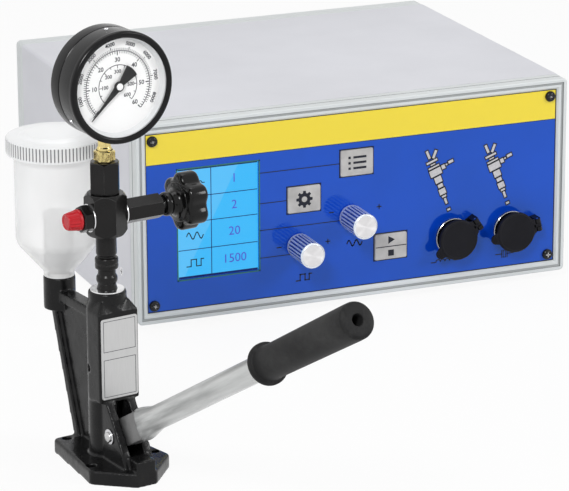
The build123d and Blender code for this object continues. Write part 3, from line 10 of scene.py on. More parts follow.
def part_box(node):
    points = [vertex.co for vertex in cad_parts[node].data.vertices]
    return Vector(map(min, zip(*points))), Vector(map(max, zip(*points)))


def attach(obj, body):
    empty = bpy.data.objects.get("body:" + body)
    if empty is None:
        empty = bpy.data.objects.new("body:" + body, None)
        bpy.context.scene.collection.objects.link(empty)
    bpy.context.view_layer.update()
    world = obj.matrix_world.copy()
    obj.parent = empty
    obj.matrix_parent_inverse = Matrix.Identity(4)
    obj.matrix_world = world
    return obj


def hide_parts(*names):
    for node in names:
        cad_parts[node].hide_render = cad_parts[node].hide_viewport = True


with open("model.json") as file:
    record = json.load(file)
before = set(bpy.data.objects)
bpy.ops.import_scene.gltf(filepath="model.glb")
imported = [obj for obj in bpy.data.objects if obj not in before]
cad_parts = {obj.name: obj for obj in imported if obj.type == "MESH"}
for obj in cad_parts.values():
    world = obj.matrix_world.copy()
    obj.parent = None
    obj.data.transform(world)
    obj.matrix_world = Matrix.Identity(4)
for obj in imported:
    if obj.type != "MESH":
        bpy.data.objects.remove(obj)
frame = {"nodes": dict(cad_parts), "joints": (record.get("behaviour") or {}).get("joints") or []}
scene = bpy.context.scene
joints = {joint["name"]: joint for joint in frame["joints"]}
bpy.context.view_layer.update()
print("frame loaded:", len(frame["nodes"]), "nodes")

# places, all taken from the frame; every piece is modelled in its own millimetres
mm = 0.001
up = Vector((0, 0, 1))


def placeAt(origin, xAxis, zAxis):
    # matrix from millimetres in a piece's own frame to metres in the model's
    z, x = Vector(zAxis).normalized(), Vector(xAxis).normalized()
    turn = Matrix((x, z.cross(x), z)).transposed().to_4x4()
    return Matrix.Translation(Vector(origin)) @ turn @ Matrix.Scale(mm, 4)


def middleOf(node):
    low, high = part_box(node)
    return (low + high) / 2


pumpRight = Vector(joints["valve_turn"]["axis"])
pumpFront = -Vector(joints["needle_sweep"]["axis"])
valveMiddle = Vector(joints["valve_turn"]["pos_m"])
gaugeMiddle = up * joints["needle_sweep"]["pos_m"][2]
cupMiddle = middleOf("reservoir_lid")
cupMiddle.z = 0
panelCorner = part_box("front_bezel")[0]
panelCorner = Vector((panelCorner.x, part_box("front_panel")[0].y, panelCorner.z))
leverPin = Vector(joints["lever_pivot"]["pos_m"])
leverRise = radians(29.66)
leverAlong = pumpFront * cos(leverRise) + up * sin(leverRise)

column = placeAt((0, 0, 0), pumpRight, up)
cup = placeAt(cupMiddle, pumpRight, up)
valveRight = placeAt(valveMiddle, up, pumpRight)
valveLeft = placeAt(valveMiddle, up, -pumpRight)
dialPlace = placeAt(gaugeMiddle, pumpRight, pumpFront)
labelPlace = placeAt((0, 0, 0), pumpRight, pumpFront)
leverPlace = placeAt(leverPin, -pumpRight, leverAlong)
pinPlace = placeAt(leverPin, pumpFront, -pumpRight)
panel = placeAt(panelCorner, (1, 0, 0), (0, -1, 0))
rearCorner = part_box("rear_bezel")
rearCorner = Vector((rearCorner[1].x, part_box("rear_panel")[1].y, rearCorner[0].z))
rearPanel = placeAt(rearCorner, (-1, 0, 0), (0, 1, 0))


# camera at the photograph's viewing angle
cameraValues = {
    "target": (0.25515, 0.273, 0.0632),
    "distance": 2.915,
    "azimuth": -22.23,
    "elevation": 17.54,
    "roll": -0.245,
    "focalPixels": 3418,
    "imageWidth": 569,
}


def makeCamera(values):
    data = bpy.data.cameras.new("camera")
    data.sensor_width = 36
    data.lens = values["focalPixels"] * data.sensor_width / values["imageWidth"]
    data.clip_start, data.clip_end = 0.1, 60
    camera = bpy.data.objects.new("camera", data)
    scene.collection.objects.link(camera)
    side, rise = radians(values["azimuth"]), radians(values["elevation"])
    back = Vector((sin(side) * cos(rise), -cos(side) * cos(rise), sin(rise)))
    camera.location = Vector(values["target"]) + back * values["distance"]
    turn = (-back).to_track_quat("-Z", "Y").to_matrix()
    camera.rotation_euler = (turn @ Matrix.Rotation(radians(values["roll"]), 3, "Z")).to_euler()
    scene.camera = camera


makeCamera(cameraValues)
scene.view_settings.view_transform = "Standard"


# small helpers for materials
def addNode(tree, kind, settings=None, **values):
    node = tree.nodes.new("ShaderNode" + kind)
    for key, value in (settings or {}).items():
        setattr(node, key, value)
    for key, value in values.items():
        setSocket(tree, node, key, value)
    return node


def setSocket(tree, node, key, value):
    # a key such as i0 is a socket's number, any other key its name
    socket = node.inputs[int(key[1:]) if key[0] == "i" and key[1:].isdigit() else key.replace("_", " ")]
    if isinstance(value, bpy.types.NodeSocket):
        tree.links.new(value, socket)
    else:
        socket.default_value = value


def newMaterial(name, color, roughness, metallic=0.0, **sockets):
    material = bpy.data.materials.new(name)
    material.use_nodes = True
    tree = material.node_tree
    shader = tree.nodes["Principled BSDF"]
    setSocket(tree, shader, "Base Color", (*color, 1))
    setSocket(tree, shader, "Roughness", roughness)
    setSocket(tree, shader, "Metallic", metallic)
    for key, value in sockets.items():
        setSocket(tree, shader, key, value)
    place = addNode(tree, "TexCoord").outputs["Object"]
    return material, tree, shader, place


def calculated(tree, operation, *inputs):
    values = {f"i{index}": value for index, value in enumerate(inputs)}
    return addNode(tree, "Math", {"operation": operation}, **values).outputs[0]


def blended(tree, factor, first, second):
    # colour between two others by a grey socket
    mix = addNode(tree, "Mix", {"data_type": "RGBA"}, i0=factor)
    for key, value in (("i6", first), ("i7", second)):
        setSocket(tree, mix, key, value if isinstance(value, bpy.types.NodeSocket) else (*value, 1))
    return mix.outputs[2]


def shades(color, dark, pale=1.0):
    # a darker and a paler version of a colour
    return tuple(part * dark for part in color), tuple(min(1, part * pale) for part in color)


def colored(tree, shader, factor, first, second):
    setSocket(tree, shader, "Base Color", blended(tree, factor, first, second))


def uneven(tree, shader, value, low, high, smooth, rough):
    # roughness that follows a grey socket
    setSocket(tree, shader, "Roughness", grey(tree, value, low, high, smooth, rough))


def stretched(tree, place, scale):
    return addNode(tree, "Mapping", Vector=place, Scale=scale).outputs[0]


def grey(tree, value, low, high, outLow=0.0, outHigh=1.0):
    spans = {"From_Min": low, "From_Max": high, "To_Min": outLow, "To_Max": outHigh}
    return addNode(tree, "MapRange", Value=value, **spans).outputs[0]


def noise(tree, place, scale, detail=3.0, rough=0.55):
    return addNode(tree, "TexNoise", Vector=place, Scale=scale, Detail=detail, Roughness=rough).outputs[0]


def bumped(tree, shader, height, strength, distance):
    bump = addNode(tree, "Bump", Height=height, Strength=strength, Distance=distance)
    tree.links.new(bump.outputs[0], shader.inputs["Normal"])


# materials of the case
def powderCoat(name, color, roughness=0.5):
    material, tree, shader, place = newMaterial(name, color, roughness, Specular_IOR_Level=0.35)
    tone = grey(tree, noise(tree, place, 9, 2), 0.3, 0.7)
    colored(tree, shader, tone, *shades(color, 0.965, 1.04))
    uneven(tree, shader, noise(tree, place, 60, 2), 0.2, 0.8, roughness - 0.07, roughness + 0.07)
    bumped(tree, shader, noise(tree, place, 1400, 2), 0.16, 0.0004)
    return material


def zincSheet(name, color, roughness=0.34):
    material, tree, shader, place = newMaterial(name, color, roughness, 1.0)
    cells = addNode(tree, "TexVoronoi", Vector=place, Scale=90).outputs["Color"]
    tone = grey(tree, cells, 0.1, 0.9)
    colored(tree, shader, tone, *shades(color, 0.86))
    uneven(tree, shader, tone, 0, 1, roughness, roughness + 0.12)
    return material


def printedFilm(name, values):
    # glossy film: a band along its top in a second colour, with a dark line under it
    material, tree, shader, place = newMaterial(
        name, values["blue"], 0.08, Specular_IOR_Level=values["gloss"], Specular_Tint=(*values["tint"], 1),
    )
    height = addNode(tree, "SeparateXYZ", Vector=place).outputs["Z"]
    edge = panelCorner.z + values["bandBottom"] * mm
    mottle = grey(tree, noise(tree, place, 14, 2), 0.3, 0.7)
    blue = blended(tree, mottle, *shades(values["blue"], 0.93, 1.06))
    band = calculated(tree, "GREATER_THAN", height, edge)
    line = calculated(tree, "COMPARE", height, edge, values["line"] * mm / 2)
    colored(tree, shader, line, blended(tree, band, blue, values["yellow"]), values["lineColor"])
    uneven(tree, shader, noise(tree, place, 45, 3), 0.25, 0.75, 0.06, 0.1)
    bumped(tree, shader, noise(tree, place, 60, 2), 0.02, 0.0006)
    return material


def printInk(name, color, roughness=0.45):
    material, tree, shader, place = newMaterial(name, color, roughness, Specular_IOR_Level=0.3)
    tone = grey(tree, noise(tree, place, 500, 2), 0.3, 0.7)
    colored(tree, shader, tone, *shades(color, 0.9, 1.08))
    return material


def litScreen(name, values):
    # lit display: past a slanting edge its blue turns paler, a painted glare of reflected light, with fine pixel
    # rows
    material, tree, shader, place = newMaterial(name, values["dark"], 0.3, Emission_Strength=values["glow"])
    parts = addNode(tree, "SeparateXYZ", Vector=place)
    slant = calculated(tree, "MULTIPLY_ADD", parts.outputs["X"], values["slope"], parts.outputs["Z"])
    # side is 1 where the painted glare lies, past the slanting edge
    side = grey(tree, slant, values["edge"] - values["soft"], values["edge"] + values["soft"])
    rows = addNode(tree, "TexWave", {"bands_direction": "Z"}, Vector=place, Scale=values["rows"])
    blue = blended(tree, side, values["blue"], values["pale"])
    dim = grey(tree, rows.outputs["Fac"], 0, 1, 0, 0.05)
    setSocket(tree, shader, "Emission Color", blended(tree, dim, blue, (1, 1, 1)))
    return material


def clearSheet(name, color, alpha, edgeAlpha, roughness=0.06, shade=1.0, gloss=0.5):
    # clear plastic or glass that is denser towards its outline; shade is the part that its shadow keeps
    material, tree, shader, place = newMaterial(name, color, roughness, Specular_IOR_Level=gloss)
    facing = addNode(tree, "LayerWeight", Blend=0.35).outputs["Facing"]
    solid = grey(tree, facing, 0.25, 1.0, alpha, edgeAlpha)
    shadow = addNode(tree, "LightPath").outputs["Is Shadow Ray"]
    part = calculated(tree, "MULTIPLY", solid, grey(tree, shadow, 0, 1, 1.0, shade))
    setSocket(tree, shader, "Alpha", part)
    bumped(tree, shader, noise(tree, place, 35, 2), 0.06, 0.002)
    return material


# materials of the metals and plastics
def machined(name, color, roughness, metallic=1.0, wear=0.35, mark=900, depth=0.12, gloss=0.5):
    # turned or drawn metal: fine marks, uneven roughness and brighter corners
    material, tree, shader, place = newMaterial(name, color, roughness, metallic, Specular_IOR_Level=gloss)
    corner = addNode(tree, "Bevel", {"samples": 4}, Radius=0.0006).outputs[0]
    plain = addNode(tree, "NewGeometry").outputs["Normal"]
    same = addNode(tree, "VectorMath", {"operation": "DOT_PRODUCT"}, i0=corner, i1=plain).outputs["Value"]
    worn = grey(tree, noise(tree, place, 160), 0.35, 0.65)
    rubbed = calculated(tree, "MULTIPLY", grey(tree, same, 0.999, 0.93), worn)
    patches = grey(tree, noise(tree, place, 70, 4), 0.3, 0.72)
    bright = tuple(part + (0.6 - part) * wear for part in color)
    colored(tree, shader, rubbed, blended(tree, patches, *shades(color, 0.8, 1.12)), bright)
    uneven(tree, shader, patches, 0, 1, roughness * 0.8, roughness * 1.2)
    bumped(tree, shader, noise(tree, stretched(tree, place, (1, 1, 6)), mark, 2), depth, 0.0002)
    return material


def drawnTube(name, values):
    # zinc coated tube with streaks and rub marks that run along the lever
    roughness = values["roughness"]
    material, tree, shader, place = newMaterial(name, values["pale"], roughness, values["metallic"])
    along = addNode(
        tree, "Mapping", {"vector_type": "TEXTURE"}, Vector=place, Rotation=leverPlace.to_euler(),
        Scale=(1, 1, values["stretch"]),
    ).outputs[0]
    streaks = grey(tree, noise(tree, along, values["streaks"], 4), 0.36, 0.66)
    clouds = grey(tree, noise(tree, along, values["clouds"], 3), 0.35, 0.65)
    colored(tree, shader, calculated(tree, "MULTIPLY", streaks, clouds), values["pale"], values["dark"])
    uneven(tree, shader, clouds, 0, 1, roughness - 0.06, roughness + 0.1)
    bumped(tree, shader, streaks, 0.08, 0.0003)
    return material


def castEnamel(name, color, dust, roughness, gloss):
    # glossy enamel over a sand casting: soft waviness, fine grain and a little dust
    material, tree, shader, place = newMaterial(name, color, roughness, Specular_IOR_Level=gloss)
    patches = grey(tree, noise(tree, place, 30, 4), 0.35, 0.75)
    colored(tree, shader, patches, color, dust)
    uneven(tree, shader, noise(tree, place, 90, 3), 0.3, 0.7, roughness - 0.08, roughness + 0.1)
    waves, grain = noise(tree, place, 110, 2), noise(tree, place, 900, 2)
    bumped(tree, shader, calculated(tree, "MULTIPLY_ADD", grain, 0.25, waves), 0.22, 0.0012)
    return material


def moulded(name, color, roughness, gloss=0.4, grain=700, depth=0.12):
    material, tree, shader, place = newMaterial(name, color, roughness, Specular_IOR_Level=gloss)
    patches = grey(tree, noise(tree, place, 55, 3), 0.3, 0.7)
    colored(tree, shader, patches, *shades(color, 0.82, 1.15))
    uneven(tree, shader, noise(tree, place, 120, 3), 0.3, 0.7, roughness - 0.06, roughness + 0.06)
    bumped(tree, shader, noise(tree, place, grain, 2), depth, 0.0004)
    return material


def scuffedRubber(name, color, scuff, stretch):
    material, tree, shader, place = newMaterial(name, color, 0.62, Specular_IOR_Level=0.15)
    scuffs = grey(tree, noise(tree, stretched(tree, place, stretch), 45, 5, 0.7), 0.44, 0.74)
    colored(tree, shader, scuffs, color, scuff)
    uneven(tree, shader, scuffs, 0, 1, 0.55, 0.75)
    bumped(tree, shader, noise(tree, place, 1100, 3), 0.25, 0.0004)
    return material


def spunMetal(name, color, roughness, stretch):
    # face turned on a lathe: its shine fans out from the middle
    material, tree, shader, place = newMaterial(name, color, roughness, 1.0, Anisotropic=stretch)
    rings = addNode(tree, "Tangent", {"direction_type": "RADIAL", "axis": "Y"}).outputs[0]
    tree.links.new(rings, shader.inputs["Tangent"])
    tone = grey(tree, noise(tree, place, 300, 2), 0.3, 0.7)
    colored(tree, shader, tone, *shades(color, 0.94))
    return material


def brushedSheet(name, color, roughness):
    # thin aluminium, brushed along its height
    material, tree, shader, place = newMaterial(name, color, roughness, 0.35, Specular_IOR_Level=0.4)
    brush = noise(tree, stretched(tree, place, (1, 1, 0.03)), 2600, 2)
    colored(tree, shader, grey(tree, brush, 0.3, 0.7), *shades(color, 0.93))
    bumped(tree, shader, brush, 0.06, 0.0002)
    return material


# each finish: what makes it, then its colour and its other values in that maker's order
finishValues = {
    "coverPaint": (powderCoat, (0.715, 0.72, 0.765), 0.5),
    "bezelPaint": (powderCoat, (0.66, 0.69, 0.695), 0.34),
    # the channel's and the seams' darker greys are painted shade in the bezel's channel, seams and step walls
    "channelPaint": (powderCoat, (0.4, 0.42, 0.425), 0.34),
    "seamShade": (powderCoat, (0.2, 0.21, 0.215), 0.5),
    "rearPaint": (powderCoat, (0.5, 0.52, 0.54), 0.45),
    "trayZinc": (zincSheet, (0.6, 0.61, 0.62)),
    "panelFilm": (printedFilm, {
        "blue": (0.002, 0.05, 0.48), "yellow": (0.9, 0.69, 0.012), "lineColor": (0.02, 0.03, 0.08),
        "bandBottom": 138.7, "line": 0.7, "gloss": 0.85, "tint": (0.4, 0.75, 1.0),
    }),
    "inkBlack": (printInk, (0.008, 0.01, 0.02)),
    "inkGrey": (printInk, (0.55, 0.54, 0.56)),
    "inkNavy": (printInk, (0.002, 0.012, 0.16)),
    "inkViolet": (printInk, (0.09, 0.1, 0.7)),
    "inkGreen": (printInk, (0.03, 0.16, 0.13)),
    "screwBlack": (machined, (0.004, 0.0045, 0.006), 0.16, 0.0, 0.35, 900, 0.12, 0.3),
    "screwBright": (machined, (0.7, 0.7, 0.72), 0.18),
    "footRubber": (moulded, (0.02, 0.02, 0.021), 0.7, 0.25),
    # the display's pale blue, slope, edge and soft values draw a painted glare across its screen
    "litScreen": (litScreen, {
        "blue": (0.0, 0.42, 0.86), "pale": (0.055, 0.46, 0.86), "dark": (0.0, 0.03, 0.06), "glow": 1.0,
        "slope": -1.9, "edge": -0.27, "soft": 0.0006, "rows": 900,
    }),
    "boardGreen": (moulded, (0.02, 0.16, 0.06), 0.35, 0.5, 400, 0.2),
    "supplyCore": (machined, (0.3, 0.27, 0.22), 0.5, 0.6),
    "knobAluminium": (machined, (0.82, 0.86, 0.95), 0.2, 0.62, 0.2, 2200, 0.06),
    # the knobs' groove finish: dark blue, a painted reflection of the blue panel in the aluminium
    "knobGroove": (moulded, (0.02, 0.05, 0.26), 0.25, 0.5),
    "shaftSteel": (machined, (0.6, 0.6, 0.61), 0.25),
    "keyFilm": (moulded, (0.49, 0.48, 0.47), 0.5, 0.3, 900, 0.08),
    "socketBlack": (moulded, (0.005, 0.005, 0.007), 0.16, 0.2, 500, 0.04),
    "socketContact": (machined, (0.75, 0.6, 0.3), 0.25),
    "capPlastic": (moulded, (0.008, 0.008, 0.011), 0.5, 0.12, 1500, 0.3),
    "inletPlastic": (moulded, (0.02, 0.02, 0.021), 0.3, 0.45),
    "castEnamel": (castEnamel, (0.0045, 0.0045, 0.005), (0.011, 0.011, 0.011), 0.21, 0.2),
    "blackSteel": (machined, (0.0075, 0.007, 0.007), 0.22, 0.0, 0.1, 700, 0.08, 0.22),
    "turnedSteel": (machined, (0.6, 0.6, 0.6), 0.24),
    "brightRing": (machined, (0.86, 0.86, 0.87), 0.16),
    "headSteel": (machined, (0.22, 0.22, 0.22), 0.48, 0.85, 0.5, 500),
    "tubeZinc": (drawnTube, {
        "pale": (0.6, 0.61, 0.605), "dark": (0.22, 0.225, 0.225), "roughness": 0.3, "metallic": 0.55,
        "streaks": 150, "clouds": 40, "stretch": 12.0,
    }),
    "gripRubber": (scuffedRubber, (0.012, 0.012, 0.0125), (0.05, 0.05, 0.05), (1, 0.35, 0.6)),
    "knobBlack": (moulded, (0.004, 0.004, 0.004), 0.12, 0.24, 300, 0.03),
    "capRed": (moulded, (0.5, 0.006, 0.014), 0.24, 0.4, 500, 0.06),
    "stemBrass": (machined, (0.76, 0.62, 0.26), 0.14, 1.0, 0.2, 300, 0.01),
    "gaugeBlack": (moulded, (0.005, 0.005, 0.0055), 0.2, 0.2, 1300, 0.04),
    "dialWhite": (powderCoat, (0.94, 0.94, 0.94), 0.5),
    # the dial rim's grey is painted shade on the white wall that rises from the dial to the glass
    "dialRim": (powderCoat, (0.72, 0.73, 0.74), 0.3),
    "needleGrey": (moulded, (0.02, 0.02, 0.021), 0.42, 0.3),
    "lensClear": (clearSheet, (0.95, 0.96, 0.97), 0.0, 0.2, 0.04, 0.0, 0.25),
    "windowClear": (clearSheet, (0.6, 0.85, 1.0), 0.0, 0.12, 0.05, 0.0, 0.06),
    "vesselClear": (clearSheet, (0.97, 0.972, 0.972), 0.48, 0.72, 0.14, 0.1, 0.35),
    "lidFrosted": (clearSheet, (0.93, 0.935, 0.94), 0.55, 0.85, 0.3, 0.2, 0.3),
    # the lid's groove finish: dark, painted shade for the dark lines that light makes in the gaps between the
    # teeth
    "lidGroove": (clearSheet, (0.09, 0.09, 0.095), 0.75, 0.85, 0.4, 0.2, 0.2),
    # the strainer's finish is grey though its plastic is white: painted shade where it stands inside the vessel
    "strainerWhite": (clearSheet, (0.33, 0.34, 0.35), 0.85, 0.95, 0.45, 0.3, 0.2),
    "labelMetal": (brushedSheet, (0.58, 0.58, 0.58), 0.4),
    "spunFace": (spunMetal, (0.8, 0.79, 0.8), 0.3, 0.9),
}
finishes = {name: maker(name, *values) for name, (maker, *values) in finishValues.items()}
print("materials:", len(finishes))


# small helpers for shapes
def picked(items, kind):
    # the items of one kind among what an operator has made
    return [item for item in items if isinstance(item, kind)]


def turned(corners, steps=96, softness=None, cuts=3):
    # solid of revolution about Z from (radius, height) corners
    # softness gives a corner's rounding by its index
    bm = bmesh.new()
    points = [bm.verts.new((radius, 0, height)) for radius, height in corners]
    for first, second in zip(points, points[1:]):
        bm.edges.new((first, second))
    for index, radius in (softness or {}).items():
        bmesh.ops.bevel(
            bm, geom=[points[index]], offset=radius, offset_type="OFFSET", segments=cuts, profile=0.5,
            affect="VERTICES", material=-1,
        )
    bmesh.ops.spin(
        bm, geom=bm.verts[:] + bm.edges[:], cent=(0, 0, 0), axis=(0, 0, 1), angle=2 * pi, steps=steps,
        use_merge=True, use_duplicate=False,
    )
    bmesh.ops.remove_doubles(bm, verts=bm.verts, dist=1e-4)
    bmesh.ops.recalc_face_normals(bm, faces=bm.faces)
    return bm


def closedTurned(corners, **values):
    # the profile's last corner joins its first one
    return turned(list(corners) + [corners[0]], **values)


def hexBar(flats, bottom, top, angle=0.0, chamfer=1.0, sides=6):
    # hexagonal bar with its corners turned off at both ends
    corner = flats / (2 * cos(pi / 6))
    low = flats / 2 - 0.3
    slope = (corner - low) * tan(radians(30)) * chamfer
    bm = turned([
        (0, bottom), (low, bottom), (corner, bottom + slope), (corner, top - slope), (low, top), (0, top),
    ])
    for side in range(sides):
        turn = radians(angle) + 2 * pi * side / sides
        outward = Vector((cos(turn), sin(turn), 0))
        cut = bmesh.ops.bisect_plane(
            bm, geom=bm.verts[:] + bm.edges[:] + bm.faces[:], dist=1e-5, plane_co=outward * flats / 2,
            plane_no=outward, clear_outer=True,
        )
        bmesh.ops.holes_fill(bm, edges=picked(cut["geom_cut"], BMEdge), sides=0)
    return bm


def extruded(outline, depth, softness=0.0, cuts=2):
    # plate from a flat outline at z 0 up to depth, with softened edges
    bm = bmesh.new()
    face = bm.faces.new([bm.verts.new((x, y, 0)) for x, y in outline])
    raised = bmesh.ops.extrude_face_region(bm, geom=[face])["geom"]
    bmesh.ops.translate(bm, verts=picked(raised, BMVert), vec=(0, 0, depth))
    bmesh.ops.recalc_face_normals(bm, faces=bm.faces)
    if softness:
        soften(bm, softness, cuts)
    return bm


def soften(bm, width, cuts=2, above=35):
    # bevels the edges whose faces meet at more than an angle
    edges = [
        edge for edge in bm.edges if len(edge.link_faces) == 2 and edge.calc_face_angle(0) > radians(above)
    ]
    bmesh.ops.bevel(
        bm, geom=edges, offset=width, offset_type="OFFSET", segments=cuts, profile=0.5, affect="EDGES",
        clamp_overlap=True, material=-1,
    )
    return bm


def slab(width, height, bottom, top, softness=0.0, cuts=2):
    bm = bmesh.new()
    bmesh.ops.create_cube(bm, size=1)
    bmesh.ops.scale(bm, verts=bm.verts, vec=(width, height, top - bottom))
    bmesh.ops.translate(bm, verts=bm.verts, vec=(0, 0, (top + bottom) / 2))
    if softness:
        soften(bm, softness, cuts)
    return bm


def wavyBar(reach, points, bottom, top, taper=1.0):
    # bar along Z; reach gives its outline's radius at an angle
    bm = bmesh.new()
    for vert in bmesh.ops.create_circle(bm, cap_ends=True, segments=points, radius=1)["verts"]:
        turn = vert.co.to_2d().angle_signed(Vector((1, 0)))
        vert.co = Vector((vert.co.x, vert.co.y, 0)) * reach(turn)
    raised = bmesh.ops.extrude_face_region(bm, geom=bm.faces[:])["geom"]
    upper = picked(raised, BMVert)
    bmesh.ops.scale(bm, verts=upper, vec=(taper, taper, 1))
    bmesh.ops.translate(bm, verts=upper, vec=(0, 0, top - bottom))
    bmesh.ops.translate(bm, verts=bm.verts, vec=(0, 0, bottom))
    bmesh.ops.recalc_face_normals(bm, faces=bm.faces)
    return bm


def fluted(radius, depth, flutes, bottom, top, sharp=1.0, points=6, taper=1.0):
    # bar with flutes along its side; a power below 1 makes broad flutes, above 1 narrow ones
    def reach(turn):
        return radius - depth * (0.5 + 0.5 * cos(turn * flutes)) ** sharp

    return wavyBar(reach, flutes * points, bottom, top, taper)


def paintedBetween(bm, low, high):
    # side faces whose middle lies between two radii take the piece's second finish
    for face in bm.faces:
        if abs(face.normal.z) < 0.5 and low < face.calc_center_median().to_2d().length < high:
            face.material_index = 1
    return bm


def nextRing(bm, edges, points):
    # extrudes a ring of edges; gives its new edges, faces and points
    raised = bmesh.ops.extrude_edge_only(bm, edges=edges)["geom"]
    rim = [edge for edge in picked(raised, BMEdge) if len(edge.link_faces) == 1]
    bm.verts.ensure_lookup_table()
    return rim, picked(raised, BMFace), bm.verts[-points:]


def roundedRing(verts, width, height, corner, level):
    # moves a ring of points to a rectangle with round corners
    each = len(verts) // 4
    for index, vert in enumerate(verts):
        quarter, step = divmod(index, each)
        turn = pi / 2 * (quarter + step / (each - 1))
        across = width / 2 - corner if quarter in (0, 3) else corner - width / 2
        high = height / 2 - corner if quarter in (0, 1) else corner - height / 2
        vert.co = (across + corner * cos(turn), high + corner * sin(turn), level)


def sweptFrame(width, height, corner, profile, points=32):
    # profile carried round a rectangle; each of its corners is an inset, a level and a finish
    bm = bmesh.new()
    verts = bmesh.ops.create_circle(bm, cap_ends=False, segments=points, radius=1)["verts"]
    edges = bm.edges[:]
    for index, (inset, level, finish) in enumerate(profile + profile[:1]):
        if index:
            edges, faces, verts = nextRing(bm, edges, points)
            for face in faces:
                face.material_index = finish
        roundedRing(verts, width - 2 * inset, height - 2 * inset, max(corner - inset, 0.01), level)
    bmesh.ops.remove_doubles(bm, verts=bm.verts, dist=0.04)
    bmesh.ops.recalc_face_normals(bm, faces=bm.faces)
    return bm


def meshOf(bm, name="part"):
    data = bpy.data.meshes.new(name)
    bm.to_mesh(data)
    bm.free()
    return data


def shapeOf(data):
    bm = bmesh.new()
    bm.from_mesh(data)
    bpy.data.meshes.remove(data)
    return bm


def merged(*parts):
    # one shape of several, each given alone or with the matrix that places it
    whole = bmesh.new()
    for part in parts:
        bm, place = part if isinstance(part, tuple) else (part, Matrix())
        bm.transform(place)
        data = meshOf(bm)
        whole.from_mesh(data)
        bpy.data.meshes.remove(data)
    return whole


def addPiece(name, bm, place, body, finish, replaced=(), smooth=32):
    bm.transform(place)
    addObject(name, meshOf(bm, name), body, finish, replaced, smooth)


def addParts(name, parts, place, finish, body="root"):
    # piece of several parts that stands for no node of its own
    addPiece(name, merged(*parts), place, body, finish, (), 30)


def addObject(name, data, body, finish, replaced=(), smooth=32):
    # finish is one name, or a list of names where the faces say which one they take
    data.polygons.foreach_set("use_smooth", [True] * len(data.polygons))
    data.set_sharp_from_angle(angle=radians(smooth))
    for material in [finish] if isinstance(finish, str) else finish:
        data.materials.append(finishes[material])
    piece = bpy.data.objects.new(name, data)
    scene.collection.objects.link(piece)
    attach(piece, body)
    if replaced:
        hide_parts(*replaced)


def paintNode(node, finish):
    data = frame["nodes"][node].data
    data.materials.clear()
    data.materials.append(finishes[finish])


def titled(name):
    # node name as the end of a piece's name
    return name.replace("_", " ").title().replace(" ", "")


# stage: a pale floor and a soft, even light
stageValues = {
    "floorSize": 30, "floorColor": (0.86, 0.86, 0.86), "floorGlow": 0.92, "worldLight": 0.36,
    "lamps": {
        "key": {"place": (-1.7, -2.4, 2.6), "size": (0.9, 0.9), "power": 75},
        "fill": {"place": (2.6, -1.9, 1.7), "size": (1.0, 1.0), "power": 35},
        "top": {"place": (0.3, 0.6, 2.8), "size": (1.6, 1.2), "power": 13},
        "leftStrip": {"place": (-1.9, 0.5, 0.9), "size": (0.3, 1.4), "power": 1.6},
    },
    "aim": (0.2, 0.25, 0.1),
}


def seenRays(tree):
    # 1 for what the camera sees straight, in a gloss or through glass
    path = addNode(tree, "LightPath").outputs
    seen = calculated(tree, "MAXIMUM", path["Is Camera Ray"], path["Is Glossy Ray"])
    return calculated(tree, "MAXIMUM", seen, path["Is Transmission Ray"])


def makeFloor(values):
    bm = bmesh.new()
    bmesh.ops.create_grid(bm, x_segments=1, y_segments=1, size=values["floorSize"] / 2)
    data = meshOf(bm, "floor")
    floor = bpy.data.objects.new("floor", data)
    scene.collection.objects.link(floor)
    material, tree, shader, _ = newMaterial("floor", values["floorColor"], 0.9, Specular_IOR_Level=0.1)
    glow = addNode(tree, "Emission", Color=(1, 1, 1, 1), Strength=1.0).outputs[0]
    share = calculated(tree, "MULTIPLY", seenRays(tree), values["floorGlow"])
    mixed = addNode(tree, "MixShader", i0=share, i1=shader.outputs[0], i2=glow).outputs[0]
    tree.links.new(mixed, tree.nodes["Material Output"].inputs["Surface"])
    data.materials.append(material)


def makeLight(values):
    world = bpy.data.worlds.new("studio")
    world.use_nodes = True
    scene.world = world
    tree = world.node_tree
    background, strength = tree.nodes["Background"], grey(tree, seenRays(tree), 0, 1, values["worldLight"])
    setSocket(tree, background, "Color", (1, 1, 1, 1))
    setSocket(tree, background, "Strength", strength)
    for name, lamp in values["lamps"].items():
        data = bpy.data.lights.new(name, "AREA")
        data.shape = "RECTANGLE"
        data.size, data.size_y = lamp["size"]
        data.energy = lamp["power"]
        light = bpy.data.objects.new(name, data)
        scene.collection.objects.link(light)
        light.location = lamp["place"]
        light.rotation_euler = (Vector(values["aim"]) - light.location).to_track_quat("-Z", "Y").to_euler()


makeFloor(stageValues)
makeLight(stageValues)
print("stage: floor, world and", len(stageValues["lamps"]), "lamps")

# finishes of the nodes that keep their own mesh
nodeFinishes = {
    "coverPaint": ["top_cover"],
    "rearPaint": ["rear_panel"],
    "trayZinc": ["base_tray"],
    "panelFilm": ["front_panel"],
    "screwBlack": ["panel_screws"],
    "screwBright": ["cover_screws", "cap_hinge_pins"],
    "footRubber": ["case_feet"],
    "litScreen": ["display_module"],
    "boardGreen": ["main_board", "key_board"],
    "supplyCore": ["power_supply"],
    "shaftSteel": ["frequency_shaft", "pulse_width_shaft", "control_pots"],
    "keyFilm": ["menu_key", "work_key", "start_stop_key"],
    "socketBlack": ["solenoid_socket", "piezo_socket"],
    "inletPlastic": ["power_inlet", "power_rocker"],
    "turnedSteel": ["valve_spindle", "pump_barrel", "plunger", "plunger_spring"],
    "brightRing": ["sealing_washers"],
    "stemBrass": ["gauge_stem", "bourdon_tube"],
    "dialWhite": ["gauge_dial"],
    "lensClear": ["gauge_lens"],
}
for finish, painted in nodeFinishes.items():
    for node in painted:
        paintNode(node, finish)
print("finishes given to", sum(len(painted) for painted in nodeFinishes.values()), "nodes")


# pump casting: the node's shape with the rounded inner and outer corners of a sand casting
castingValues = {"voxel": 0.9, "smoothing": 7, "strength": 0.5}


